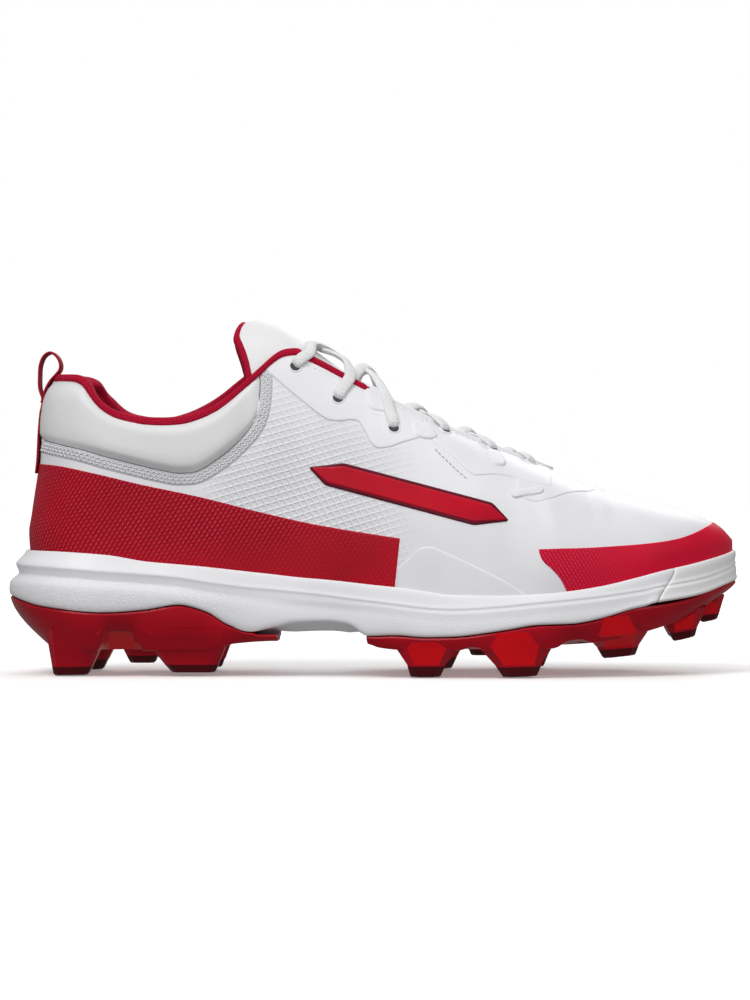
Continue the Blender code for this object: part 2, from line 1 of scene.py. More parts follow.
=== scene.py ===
"""Looks of a right-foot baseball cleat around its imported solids.

Sizes are in millimetres in the shoe's own frame: x from the back of the heel, z from the stud tips,
side -1 is the little-toe side and 1 the big-toe side. Meshes are built in metres in the row frame.
"""
import math

import bmesh
import bpy
import numpy as np
from mathutils import Matrix, Vector


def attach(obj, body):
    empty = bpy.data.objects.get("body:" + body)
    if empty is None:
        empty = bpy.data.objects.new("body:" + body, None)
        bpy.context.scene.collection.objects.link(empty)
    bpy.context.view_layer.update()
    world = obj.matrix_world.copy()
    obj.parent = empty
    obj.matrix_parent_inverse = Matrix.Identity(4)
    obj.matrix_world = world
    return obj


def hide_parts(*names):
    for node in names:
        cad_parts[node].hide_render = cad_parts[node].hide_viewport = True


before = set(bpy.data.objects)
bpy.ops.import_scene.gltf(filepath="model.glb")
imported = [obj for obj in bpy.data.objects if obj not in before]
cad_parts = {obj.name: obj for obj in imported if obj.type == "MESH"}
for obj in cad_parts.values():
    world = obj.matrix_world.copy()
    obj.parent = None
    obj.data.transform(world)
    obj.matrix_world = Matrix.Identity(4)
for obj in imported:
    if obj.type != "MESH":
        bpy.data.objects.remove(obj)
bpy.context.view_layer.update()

MID_X, MID_Y = 149.15, 0.6
HEEL_X, TOE_X = 7.2, 297.3
SPAN = TOE_X - HEEL_X
WALL = 2.0
COLLAR_PAD = 5.0
THROAT_TOP, THROAT_END = 119.0, 223.0
GAP = 0.3

# ------------------------------------------------------------------ the shoe's own section tables
LAST = dict(
    x=(7, 30, 60, 90, 110, 119, 140, 164, 182, 200, 215, 230, 245, 260, 272, 284, 292, 297.3),
    outer=(32.5, 34.0, 34.0, 33.0, 33.5, 34.5, 38.5, 44.0, 48.0, 50.0, 50.0, 48.0, 44.5, 40.5, 37.0, 34.0, 32.0, 31.0),
    inner=(32.5, 33.5, 32.5, 30.0, 29.5, 30.0, 32.5, 37.0, 41.0, 44.0, 45.0, 44.5, 42.5, 39.5, 37.0, 34.0, 32.0, 31.0),
    crown=(152, 152, 151, 150, 147, 142.5, 128, 112, 102, 93.5, 86.8, 80.3, 75.2, 71.4, 68.3, 64.2, 59.8, 54.4),
    full=(2.3, 2.3, 2.3, 2.3, 2.2, 2.2, 2.2, 2.2, 2.2, 2.2, 2.2, 2.2, 2.25, 2.3, 2.35, 2.4, 2.4, 2.4),
)
SPINE = dict(x=(0, 110, 160, 200, 250, 300), y=(0, 0, 0.8, 2.6, 5.2, 7.0))
LEAN = dict(z=(38, 50, 58, 64, 72, 87, 100, 111, 116, 120, 123), forward=(1.2, 0.5, 0, 0.9, 2.1, 4.2, 4.9, 6.2, 8.0, 10.5, 12.8))
COLLAR = dict(
    x=(7, 18, 24, 28.8, 33.3, 36.7, 40.3, 43.3, 49.2, 57, 63, 70, 78.6, 85, 90, 95.6, 102.4, 108.6, 112.3, 119),
    outer=(122.3, 121.8, 120.2, 116.8, 112.8, 110.2, 108.2, 107.0, 105.6, 104.4, 104.2, 104.6, 106.9, 109.9, 113.4, 118.4, 124.4, 130.1, 132.2, 132.8),
    inner=(122.5, 122.2, 121.0, 118.4, 115.0, 113.0, 110.2, 108.2, 106.2, 105.2, 105.2, 106.8, 110.6, 114.6, 118.6, 123.0, 128.0, 131.9, 132.9, 133.4),
)
THROAT = dict(x=(119, 140, 165, 185, 200, 211, 218, 221.5, 223), gap=(17.5, 17.5, 16.5, 15.0, 13.0, 10.0, 6.6, 3.4, 0))
SOLE = dict(
    x=(7, 19, 41, 57, 70, 81, 90, 99, 110, 118, 130, 139, 147, 158, 170, 181, 200, 215, 228, 240, 255, 268, 277, 285, 293, 300),
    rim=(50.6, 50.4, 49.0, 46.4, 45.2, 44.2, 43.2, 42.2, 41.0, 40.1, 39.1, 38.2, 37.3, 36.2, 34.6, 33.2, 33.0, 33.6, 34.8, 36.6, 40.0, 43.2, 45.0, 46.9, 49.0, 51.5),
    ledge=(44.6, 43.9, 42.1, 41.0, 39.8, 38.0, 36.8, 35.7, 34.8, 34.0, 32.8, 31.6, 30.7, 29.4, 28.0, 27.5, 28.6, 30.1, 31.3, 32.6, 34.6, 36.6, 38.4, 40.4, 43.0, 46.0),
    footbed=(38.0, 37.4, 36.2, 35.3, 34.7, 34.2, 33.8, 33.4, 32.6, 31.9, 30.7, 29.7, 28.6, 27.2, 26.0, 25.3, 25.2, 25.9, 27.2, 29.0, 32.0, 35.2, 37.4, 39.4, 41.6, 43.8),
    under=(31.8, 27.9, 25.6, 26.7, 28.6, 25.9, 20.6, 17.7, 19.8, 21.4, 21.8, 20.8, 16.2, 16.6, 15.9, 16.2, 18.6, 20.9, 21.3, 23.4, 27.4, 29.0, 30.8, 33.4, 36.2, 38.3),
)
SIDEWALL = dict(
    x=(7, 20, 40, 70, 100, 130, 160, 200, 240, 275, 300),
    ledge=(5.9, 5.4, 4.6, 3.8, 3.2, 2.8, 3.0, 3.2, 2.8, 2.2, 1.9),
    groove=(4.6, 4.2, 3.6, 3.0, 2.8, 2.6, 3.0, 3.4, 3.0, 2.4, 2.0),
    bulge=(8.6, 7.6, 6.4, 5.2, 3.6, 2.6, 3.4, 3.8, 3.4, 2.8, 2.4),
    rake=(16.5, 10.0, 6.0, 5.0, 4.0, 3.0, 3.0, 3.0, 4.0, 6.0, 7.0),
)


def curve(table, name, key="x"):
    """Monotone cubic through one column of a table, for arrays."""
    xs, ys = np.array(table[key], float), np.array(table[name], float)
    h = np.diff(xs)
    d = np.diff(ys) / h
    m = np.zeros(len(xs))
    for i in range(1, len(xs) - 1):
        if d[i] * d[i - 1] > 0:
            w1, w2 = 2 * h[i] + h[i - 1], h[i] + 2 * h[i - 1]
            m[i] = (w1 + w2) / (w1 / d[i - 1] + w2 / d[i])
    m[0], m[-1] = d[0], d[-1]

    def f(x):
        x = np.clip(np.asarray(x, float), xs[0], xs[-1])
        i = np.clip(np.searchsorted(xs, x, side="right") - 1, 0, len(h) - 1)
        t = (x - xs[i]) / h[i]
        return ys[i] * (1 + 2 * t) * (1 - t) ** 2 + m[i] * h[i] * t * (1 - t) ** 2 + ys[i + 1] * t * t * (3 - 2 * t) + m[i + 1] * h[i] * t * t * (t - 1)

    return f


OUTER, INNER, CROWN, FULL = (curve(LAST, n) for n in ("outer", "inner", "crown", "full"))
spine = curve(SPINE, "y")
lean_of = curve(LEAN, "forward", "z")
COLLAR_O, COLLAR_I = curve(COLLAR, "outer"), curve(COLLAR, "inner")
gap_of = curve(THROAT, "gap")
rim_of, ledge_of, bed_of, under_of = (curve(SOLE, n) for n in ("rim", "ledge", "footbed", "under"))
LEDGE_OUT, GROOVE_OUT, BULGE_OUT, RAKE = (curve(SIDEWALL, n) for n in ("ledge", "groove", "bulge", "rake"))


def ease(a, b, x):
    t = np.clip((np.asarray(x, float) - a) / (b - a), 0, 1)
    return t * t * (3 - 2 * t)


def round_end(d, reach, power):
    s = 1 - np.clip(d / reach, 0, 1)
    return np.maximum(1 - s**power, 0) ** (1 / power)


def half_width(x, side):
    w = np.where(side < 0, OUTER(x), INNER(x))
    toe = round_end(TOE_X - x, np.where(side < 0, 42.0, 33.0), 2.05)
    return w * round_end(x - HEEL_X, 31.0, 2.15) * toe


def belt(x):
    return rim_of(x) + 3.0 - 1.6 * ease(270, 297, x)


def collar_z(x, side):
    return np.where(side < 0, COLLAR_O(x), COLLAR_I(x))


def angle_of(x, side, z):
    """Section angle at a height; below the belt it is negative, in radians of a 32 mm arm."""
    n, b, c = FULL(x), belt(x), CROWN(x)
    h = np.clip((z - b) / (c - b), 0, 1)
    return np.where(z >= b, np.arcsin(h ** (n / 2)), (z - b) / 32.0)


def top_angle(x, side):
    gap = gap_of(x) / np.maximum(half_width(x, side), 1e-6)
    throat = np.arccos(np.clip(gap, 0, 1) ** (FULL(x) / 2))
    a = np.where(x > THROAT_TOP, throat, angle_of(x, side, collar_z(x, side)))
    return np.where(x >= THROAT_END, math.pi / 2, a)


def x_of_t(t):
    return HEEL_X + SPAN * (1 - np.cos(np.pi * np.asarray(t, float))) / 2


def t_of_x(x):
    return np.arccos(np.clip(1 - 2 * (np.asarray(x, float) - HEEL_X) / SPAN, -1, 1)) / np.pi


def raw(t, side, a):
    """Point on the smooth last; t runs from heel to toe and a up the section."""
    t, side, a = np.broadcast_arrays(np.asarray(t, float), np.asarray(side, float), np.asarray(a, float))
    x = x_of_t(t)
    n, b, c, w = FULL(x), belt(x), CROWN(x), half_width(x, side)
    up = np.clip(a, 0, math.pi / 2)
    z = b + (c - b) * np.sin(up) ** (2 / n)
    y = w * np.maximum(np.cos(up), 0) ** (2 / n)
    low = bed_of(x) + GAP + 0.1
    zb = b + a * 32.0
    yb = w * (1 - 0.045 * np.clip((b - zb) / (b - low), 0, 1.3) ** 2)
    z, y = np.where(a < 0, zb, z), np.where(a < 0, yb, y)
    lean = lean_of(z) * (1 - ease(HEEL_X, 62.0, x))
    return np.stack([x + lean, spine(x) + side * y, z], -1)


def normal(t, side, a):
    t, side, a = np.broadcast_arrays(np.asarray(t, float), np.asarray(side, float), np.asarray(a, float))
    e = 2e-3
    tc = np.clip(t, e, 1 - e)
    ac = np.clip(a, -0.45, math.pi / 2 - 0.012)
    du = raw(tc + e, side, ac) - raw(tc - e, side, ac)
    dv = raw(tc, side, ac + 0.01) - raw(tc, side, ac - 0.01)
    n = np.cross(dv, du) * side[..., None]
    n = n / np.maximum(np.linalg.norm(n, axis=-1, keepdims=True), 1e-12)
    # the heel and toe lines and the crown lie on the seam of the two halves
    flat = (t < e) | (t > 1 - e)
    n[..., 1] = np.where(flat, 0, n[..., 1])
    return n / np.maximum(np.linalg.norm(n, axis=-1, keepdims=True), 1e-12)


# ------------------------------------------------------------------ lines read off the side of the shoe (x, z)
def line(*points):
    return dict(x=[p[0] for p in points], z=[p[1] for p in points])


PAD_SEAM = line((7, 96.0), (15.8, 93.9), (27.3, 91.6), (39.2, 88.6), (50.6, 86.0), (61.9, 83.4), (70.4, 82.0), (75.5, 82.2), (80, 84.0), (85, 87.2), (90, 91.0), (95, 95.8), (99, 100.5), (101.6, 106.0), (102.6, 112.0))
RED_TOP = line((7, 86.0), (15.1, 85.3), (33.5, 82.1), (53.3, 77.8), (78.8, 72.4), (102.8, 66.4), (125.1, 61.4), (140, 58.8), (159.8, 55.8))
TOE_TOP = line((214.9, 51.6), (233, 52.0), (247.2, 52.7), (263, 54.0), (272.6, 55.5), (280.5, 58.0), (286, 60.4), (290.5, 62.0))
TOE_LOW = line((214.9, 51.2), (216.6, 47.0), (220.4, 43.4), (224.0, 39.2), (226.9, 33.4))
EYESTAY = line((103.6, 125.0), (109.4, 120.1), (113.7, 116.3), (121.7, 109.8), (126.7, 105.8), (131.1, 103.4), (135, 103.0), (139.5, 103.5), (142.3, 103.2), (144.4, 100.9), (146.2, 97.4), (148.6, 93.2), (151.2, 92.0), (155, 92.4), (160.2, 94.2), (167.6, 96.4))
EYESTAY_LOW = line((170.4, 99.6), (173.0, 95.9), (177.6, 91.6), (182.8, 86.8), (187.4, 82.4), (190, 81.0), (197.4, 81.4), (204, 80.6), (211, 78.4), (219.5, 76.6))
FOXING = line((158.2, 43.5), (162, 46.8), (165.0, 49.8), (168, 52.2), (172, 52.6), (177, 50.6), (190.9, 44.2), (200, 39.6), (207.3, 35.2), (210, 33.4))
pad_seam, red_top, toe_top, toe_low = (curve(t, "z") for t in (PAD_SEAM, RED_TOP, TOE_TOP, TOE_LOW))
eyestay_line, eyestay_low, foxing_line = (curve(t, "z") for t in (EYESTAY, EYESTAY_LOW, FOXING))


def puff(t, side, a):
    """Where the skin of the upper leaves the smooth last: flex creases and soft hollows."""
    x = x_of_t(t)
    p = raw(t, side, a)
    z = p[..., 2]
    d = np.zeros(np.shape(z))
    over = ease(0.5, 0.95, a) * ease(1.56, 1.3, a)
    vamp = ease(226, 232, x) * ease(262, 250, x) * ease(0.45, 1.0, a)
    d = d - vamp * (0.45 * np.exp(-(((x - 235 - 4.0 * np.cos(a)) / 2.4) ** 2)) - 0.3 * np.exp(-(((x - 239.5 - 4.5 * np.cos(a)) / 2.6) ** 2)) + 0.35 * np.exp(-(((x - 244 - 5.0 * np.cos(a)) / 2.6) ** 2)))
    flex = ease(196, 206, x) * ease(236, 226, x) * ease(0.12, 0.4, a) * ease(0.95, 0.7, a)
    d = d - flex * (0.4 * np.exp(-(((x - 216 + 10 * (a - 0.5)) / 3.4) ** 2)) - 0.25 * np.exp(-(((x - 222 + 10 * (a - 0.5)) / 3.2) ** 2)))
    # shallow hollow behind the ankle pad and over the arch
    d = d - 0.5 * np.exp(-(((x - 112) / 16.0) ** 2) - ((z - 74) / 13.0) ** 2)
    # seam of the foam panel
    dip = np.exp(-(((z - pad_seam(x)) / 1.5) ** 2)) * (x < 102.6)
    return d - 0.45 * dip - 0.0 * over


def foam(x, side, up):
    """Swell of the collar's foam panel, from its seam (0) to the collar edge (1)."""
    rise = np.clip(up * 3.2, 0, 1)
    swell = np.sqrt(np.clip(1 - (1 - rise) ** 2, 0, 1)) * (1 - 0.62 * ease(0.62, 1.0, up))
    front = ease(103.5, 88.0, x)
    heel = 0.35 + 0.65 * ease(10, 48, x)
    return 3.0 * swell * (0.25 + 0.75 * front) * heel * (1 - 0.9 * ease(0.74, 0.93, up))


def skin(t, side, a, lift=0.0):
    """Point on the upper's outer skin, in mm, a distance above it."""
    return raw(t, side, a) + normal(t, side, a) * (puff(t, side, a) + lift)[..., None]


def a_line(f, x, side):
    return angle_of(x, side, f(x))


# ------------------------------------------------------------------ mesh helpers
def to_world(p):
    p = np.asarray(p, float)
    return (p - np.array([MID_X, MID_Y, 0.0])) / 1000


def new_object(name, verts, faces, mats, uv=None, weld=1e-6, attrs=None, mat_index=None, smooth=True, sharp=None):
    mesh = bpy.data.meshes.new(name)
    mesh.from_pydata(np.asarray(verts, float).tolist(), [], [list(map(int, f)) for f in faces])
    if uv is not None:
        layer = mesh.uv_layers.new(name="UVMap")
        idx = np.zeros(len(mesh.loops), np.int32)
        mesh.loops.foreach_get("vertex_index", idx)
        layer.data.foreach_set("uv", np.asarray(uv, np.float32)[idx].ravel())
    for key, values in (attrs or {}).items():
        at = mesh.attributes.new(key, "FLOAT", "POINT")
        at.data.foreach_set("value", np.asarray(values, np.float32).ravel())
    for m in mats if isinstance(mats, (list, tuple)) else [mats]:
        mesh.materials.append(m)
    if mat_index is not None:
        mesh.polygons.foreach_set("material_index", np.asarray(mat_index, np.int32))
    if weld:
        bm = bmesh.new()
        bm.from_mesh(mesh)
        bmesh.ops.remove_doubles(bm, verts=bm.verts, dist=weld)
        bm.to_mesh(mesh)
        bm.free()
    mesh.update()
    if smooth:
        mesh.shade_smooth()
        if sharp:
            mesh.set_sharp_from_angle(angle=math.radians(sharp))
    obj = bpy.data.objects.new(name, mesh)
    bpy.context.scene.collection.objects.link(obj)
    return obj


def grid_faces(m, n, flip=False, base=0, wrap=False):
    i = np.arange(m - 1)[:, None]
    j = np.arange(n if wrap else n - 1)[None, :]
    k = (j + 1) % n
    a, b, c, d = i * n + j, (i + 1) * n + j, (i + 1) * n + k, i * n + k
    f = np.stack([a + 0 * k, b + 0 * k, c, d], -1).reshape(-1, 4) + base
    return f[:, ::-1] if flip else f


def seat(obj, slot, *nodes, body="root", padded=None):
    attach(obj, body)
    if nodes:
        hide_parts(*nodes)
    return obj


def drop_unused(obj):
    bm = bmesh.new()
    bm.from_mesh(obj.data)
    loose = [v for v in bm.verts if not v.link_faces]
    bmesh.ops.delete(bm, geom=loose, context="VERTS")
    bm.to_mesh(obj.data)
    bm.free()


# arc length of the belt outline on each side, to space columns evenly
_T = np.linspace(0, 1, 3001)
ARC = {}
for _side in (-1, 1):
    _p = raw(_T, _side, 0.0)
    ARC[_side] = np.concatenate([[0], np.cumsum(np.linalg.norm(np.diff(_p, axis=0), axis=1))])


def t_of_arc(s, side):
    return np.interp(s, ARC[side], _T)


def arc_of_t(t, side):
    return np.where(np.asarray(side) < 0, np.interp(t, _T, ARC[-1]), np.interp(t, _T, ARC[1]))


def columns(side, x0, x1, step, extra=()):
    """Values of t between two stations, evenly spaced along the outline."""
    s0, s1 = (float(np.interp(float(t_of_x(x)), _T, ARC[side])) for x in (x0, x1))
    n = max(int(abs(s1 - s0) / step), 2)
    t = t_of_arc(np.linspace(s0, s1, n + 1), side)
    if len(extra):
        t = np.concatenate([t, t_of_x(np.array(extra, float))])
        t = np.unique(np.round(t, 7))
        if x1 < x0:
            t = t[::-1]
    return t


# ------------------------------------------------------------------ camera, floor and light
def look_at(obj, target):
    obj.rotation_euler = (Vector(target) - obj.location).to_track_quat("-Z", "Y").to_euler()


AIM = Vector((0.00035, -0.0006, 0.071))
TILT = math.radians(0.3)
cam_data = bpy.data.cameras.new("camera")
cam_data.sensor_width = 36.0
cam_data.lens = 130.68
cam_data.clip_start, cam_data.clip_end = 0.05, 60
camera = bpy.data.objects.new("camera", cam_data)
bpy.context.scene.collection.objects.link(camera)
camera.location = AIM + Vector((0, -1.5 * math.cos(TILT), 1.5 * math.sin(TILT)))
look_at(camera, AIM)
bpy.context.scene.camera = camera
bpy.context.scene.view_settings.view_transform = "Standard"
bpy.context.scene.view_settings.look = "None"


def area(name, place, target, size, power, size_y=None, colour=(1, 1, 1)):
    data = bpy.data.lights.new(name, "AREA")
    data.energy, data.size, data.color = power, size, colour
    if size_y:
        data.shape, data.size_y = "RECTANGLE", size_y
    obj = bpy.data.objects.new(name, data)
    bpy.context.scene.collection.objects.link(obj)
    obj.location = place
    look_at(obj, target)
    return obj


area("key", (-0.70, -1.05, 1.40), (0, 0, 0.06), 0.8, 15.0)
area("fill", (1.15, -1.0, 0.75), (0, 0, 0.06), 0.7, 4.0)
area("top", (0.05, -0.35, 1.55), (0, 0, 0.08), 1.2, 5.2)
area("low", (-0.15, -1.75, 0.32), (0, 0, 0.04), 0.6, 4.0)
area("back", (0.3, 1.35, 1.05), (0, 0, 0.07), 1.0, 10.0)
world = bpy.data.worlds.new("studio")
bpy.context.scene.world = world
world.use_nodes = True
wt = world.node_tree
background = wt.nodes["Background"]
background.inputs["Color"].default_value = (1, 1, 1, 1)
background.inputs["Strength"].default_value = 0.28
seen = wt.nodes.new("ShaderNodeBackground")
seen.inputs["Color"].default_value = (1, 1, 1, 1)
seen.inputs["Strength"].default_value = 1.0
path = wt.nodes.new("ShaderNodeLightPath")
either = wt.nodes.new("ShaderNodeMixShader")
wt.links.new(path.outputs["Is Camera Ray"], either.inputs[0])
wt.links.new(background.outputs[0], either.inputs[1])
wt.links.new(seen.outputs[0], either.inputs[2])
wt.links.new(either.outputs[0], wt.nodes["World Output"].inputs["Surface"])


# ------------------------------------------------------------------ materials
class Nodes:
    """Short names for the shader nodes used below."""

    def __init__(self, name, colour, rough, **sockets):
        self.mat = bpy.data.materials.new(name)
        self.mat.use_nodes = True
        self.t = self.mat.node_tree
        self.bsdf = self.t.nodes["Principled BSDF"]
        self.bsdf.inputs["Base Color"].default_value = (*colour, 1)
        self.bsdf.inputs["Roughness"].default_value = rough
        self.mat.diffuse_color = (*colour, 1)
        for key, value in sockets.items():
            self.bsdf.inputs[key.replace("_", " ")].default_value = value
        self.cache = {}

    def link(self, a, b):
        if isinstance(a, (int, float)):
            b.default_value = a
        elif isinstance(a, tuple):
            b.default_value = (*a, 1) if len(b.default_value) == 4 and len(a) == 3 else a
        else:
            self.t.links.new(a, b)

    def m(self, op, a, b=0.0, c=None, clamp=False):
        n = self.t.nodes.new("ShaderNodeMath")
        n.operation, n.use_clamp = op, clamp
        self.link(a, n.inputs[0])
        self.link(b, n.inputs[1])
        if c is not None:
            self.link(c, n.inputs[2])
        return n.outputs[0]

    def uv(self):
        if "uv" not in self.cache:
            n = self.t.nodes.new("ShaderNodeTexCoord")
            s = self.t.nodes.new("ShaderNodeSeparateXYZ")
            self.t.links.new(n.outputs["UV"], s.inputs[0])
            self.cache["uv"] = (s.outputs[0], s.outputs[1])
            self.cache["uvv"] = n.outputs["UV"]
            self.cache["obj"] = n.outputs["Object"]
        return self.cache["uv"]

    def vec(self, kind="obj", scale=(1, 1, 1)):
        self.uv()
        n = self.t.nodes.new("ShaderNodeMapping")
        self.t.links.new(self.cache[kind], n.inputs[0])
        n.inputs["Scale"].default_value = scale
        return n.outputs[0]

    def noise(self, scale, kind="obj", detail=2.0, stretch=(1, 1, 1), rough=0.5):
        n = self.t.nodes.new("ShaderNodeTexNoise")
        self.t.links.new(self.vec(kind, stretch), n.inputs["Vector"])
        n.inputs["Scale"].default_value = scale
        n.inputs["Detail"].default_value = detail
        n.inputs["Roughness"].default_value = rough
        return n.outputs[0]

    def cells(self, scale, kind="obj", stretch=(1, 1, 1), feature="F1", jitter=1.0):
        n = self.t.nodes.new("ShaderNodeTexVoronoi")
        n.feature = feature
        self.t.links.new(self.vec(kind, stretch), n.inputs["Vector"])
        n.inputs["Scale"].default_value = scale
        n.inputs["Randomness"].default_value = jitter
        return n.outputs["Distance"]

    def ramp(self, a, b, value, lo=0.0, hi=1.0, smooth=True):
        n = self.t.nodes.new("ShaderNodeMapRange")
        n.interpolation_type = "SMOOTHSTEP" if smooth else "LINEAR"
        self.link(value, n.inputs["Value"])
        for key, v in (("From Min", a), ("From Max", b), ("To Min", lo), ("To Max", hi)):
            self.link(v, n.inputs[key])
        return n.outputs[0]

    def mix(self, f, a, b):
        n = self.t.nodes.new("ShaderNodeMix")
        n.data_type = "RGBA"
        self.link(f, n.inputs[0])
        self.link(a, n.inputs[6])
        self.link(b, n.inputs[7])
        return n.outputs[2]

    def attr(self, name):
        n = self.t.nodes.new("ShaderNodeAttribute")
        n.attribute_name = name
        return n.outputs["Fac"]

    def tri(self, a, pitch, shift=0.0):
        """Triangle wave of a length: 0 on the lines, 1 midway between them."""
        f = self.m("FRACT", self.m("ADD", self.m("DIVIDE", a, pitch), 100.0 + shift))
        return self.m("SUBTRACT", 1.0, self.m("ABSOLUTE", self.m("SUBTRACT", self.m("MULTIPLY", f, 2.0), 1.0)))

    def bump(self, height, strength, mm):
        n = self.t.nodes.new("ShaderNodeBump")
        n.inputs["Strength"].default_value = strength
        n.inputs["Distance"].default_value = mm / 1000
        self.link(height, n.inputs["Height"])
        if "bump" in self.cache:
            self.t.links.new(self.cache["bump"], n.inputs["Normal"])
        self.cache["bump"] = n.outputs[0]
        self.t.links.new(n.outputs[0], self.bsdf.inputs["Normal"])
        return self

    def set(self, key, value):
        self.link(value, self.bsdf.inputs[key])
        return self


def make_upper_white():
    """Smooth coated textile: a quilted stitch net under the film in the waist, fine pores, faint grain."""
    n = Nodes("upper_white", (0.83, 0.83, 0.86), 0.42, Specular_IOR_Level=0.45)
    u, v = n.uv()
    net = n.attr("net")
    p = n.m("SUBTRACT", n.m("MULTIPLY", v, 0.93), n.m("MULTIPLY", u, 0.37))
    q = n.m("ADD", n.m("MULTIPLY", u, 0.88), n.m("MULTIPLY", v, 0.47))
    a, b = n.tri(p, 2.6), n.tri(q, 2.7)
    cord = n.m("MAXIMUM", n.ramp(0.42, 0.04, a), n.ramp(0.42, 0.04, b))
    pillow = n.m("SQRT", n.m("MINIMUM", a, b))
    # the ramp across each cell paints one side of every pillow darker: painted shade
    cell_shade_ramp = n.m("FRACT", n.m("ADD", n.m("DIVIDE", p, 2.6), 100.0))
    fade = n.m("MULTIPLY", net, n.m("ADD", 0.45, n.m("MULTIPLY", 1.1, n.noise(38.0))), clamp=True)
    grey_cell_and_shade = n.m("MULTIPLY", n.m("SUBTRACT", 1.0, cord), n.m("MULTIPLY", fade, n.m("ADD", 0.35, n.m("MULTIPLY", cell_shade_ramp, 0.65))))
    tone = n.ramp(0.3, 0.7, n.noise(28.0, detail=3.0))
    base = n.mix(tone, (0.77, 0.77, 0.80), (0.83, 0.83, 0.855))
    # the cells between the cords take the textile's own grey, with one side of each painted darker as painted shade
    n.set("Base Color", n.mix(n.m("MULTIPLY", grey_cell_and_shade, 0.62, clamp=True), base, (0.60, 0.60, 0.64)))
    n.set("Roughness", n.m("ADD", 0.36, n.m("MULTIPLY", n.noise(900.0), 0.14)))
    n.bump(n.m("MULTIPLY", n.m("ADD", n.m("MULTIPLY", pillow, -0.35), cord), fade), 0.6, 0.36)
    n.bump(n.cells(2600.0), 0.12, 0.10)
    n.bump(n.noise(520.0, detail=4.0), 0.10, 0.12)
    return n.mat


def make_skin(name, colour, dark, rough, grain=1.0, coat=0.0):
    """Fused synthetic overlay with a very fine leather-like grain."""
    n = Nodes(name, colour, rough, Coat_Weight=coat, Coat_Roughness=0.25)
    tone = n.ramp(0.3, 0.7, n.noise(32.0, detail=3.0))
    n.set("Base Color", n.mix(tone, dark, colour))
    n.set("Roughness", n.m("ADD", rough - 0.05, n.m("MULTIPLY", n.noise(700.0), 0.14)))
    n.bump(n.cells(1500.0, feature="DISTANCE_TO_EDGE"), 0.16 * grain, 0.10)
    n.bump(n.noise(300.0, detail=4.0), 0.12 * grain, 0.15)
    return n.mat


def make_dots(name, bright, dark, pale, pitch, rough, low, depth=0.5):
    """Coated textile with steep rows of raised dashes that fade with the 'dots' mask; the dashes carry a painted
    highlight and the grooves painted shade.
    """
    n = Nodes(name, bright, rough, Specular_IOR_Level=0.16)
    u, v = n.uv()
    mask = n.attr("dots")
    # dashes lie along steep rows that lean forwards going down
    p, q = n.m("ADD", u, n.m("MULTIPLY", v, 0.62)), n.m("SUBTRACT", v, n.m("MULTIPLY", u, 0.35))
    a, b = n.tri(p, pitch), n.tri(n.m("ADD", q, n.m("MULTIPLY", n.m("FLOOR", n.m("DIVIDE", p, pitch)), pitch * 0.55)), pitch * 1.1)
    dash = n.m("MULTIPLY", n.ramp(0.35, 0.85, a), n.ramp(0.12, 0.62, b))
    patchy = n.ramp(0.25, 0.75, n.noise(75.0, detail=3.0), 0.35, 1.0)
    # the raised dashes are painted pale and glossier: a painted highlight
    raised_dash_and_highlight = n.m("MULTIPLY", n.m("MULTIPLY", dash, mask), patchy, clamp=True)
    # the grooves along the rows are painted dark: painted shade
    groove_and_shade = n.m("MULTIPLY", n.m("MULTIPLY", n.m("SUBTRACT", 1.0, n.ramp(0.0, 0.5, a)), mask), 0.8, clamp=True)
    weave = n.m("MULTIPLY", n.tri(u, 0.5), n.tri(v, 0.5))
    tone = n.m("ADD", n.m("MULTIPLY", n.noise(24.0, detail=3.0), 0.5), n.m("MULTIPLY", low, 0.5))
    base = n.mix(n.ramp(0.3, 0.75, tone), dark, bright)
    base = n.mix(groove_and_shade, base, dark)
    n.set("Base Color", n.mix(raised_dash_and_highlight, base, pale))
    n.set("Roughness", n.ramp(0.0, 1.0, raised_dash_and_highlight, rough + 0.05, rough - 0.12))
    n.bump(n.m("ADD", raised_dash_and_highlight, n.m("MULTIPLY", groove_and_shade, -0.6)), 0.85, depth)
    n.bump(weave, 0.22, 0.10)
    return n.mat


def make_knit(name, bright, dark, pitch=1.25, rough=0.85, bump=0.55):
    """Ribbed knit piping: stitches in slanting rows, seen as small loops, with painted shade between them."""
    n = Nodes(name, bright, rough, Sheen_Weight=0.06, Sheen_Roughness=0.5, Specular_IOR_Level=0.15)
    n.bsdf.inputs["Sheen Tint"].default_value = (*bright, 1)
    u, v = n.uv()
    wav = n.m("MULTIPLY", n.m("SINE", n.m("MULTIPLY", v, 2 * math.pi / 1.5)), 0.35)
    p = n.m("ADD", u, n.m("ADD", wav, n.m("MULTIPLY", v, 0.55)))
    a = n.tri(p, pitch)
    b = n.tri(v, 0.95)
    loop = n.m("MULTIPLY", n.ramp(0.0, 0.8, a), n.ramp(0.0, 0.75, b))
    fuzz = n.noise(1500.0, detail=2.0)
    # the gaps between the stitch loops are painted dark: painted shade
    n.set("Base Color", n.mix(n.m("MULTIPLY", n.m("ADD", loop, n.m("MULTIPLY", fuzz, 0.5)), 0.8, clamp=True), dark, bright))
    n.bump(loop, 0.9, bump)
    n.bump(fuzz, 0.3, 0.15)
    return n.mat


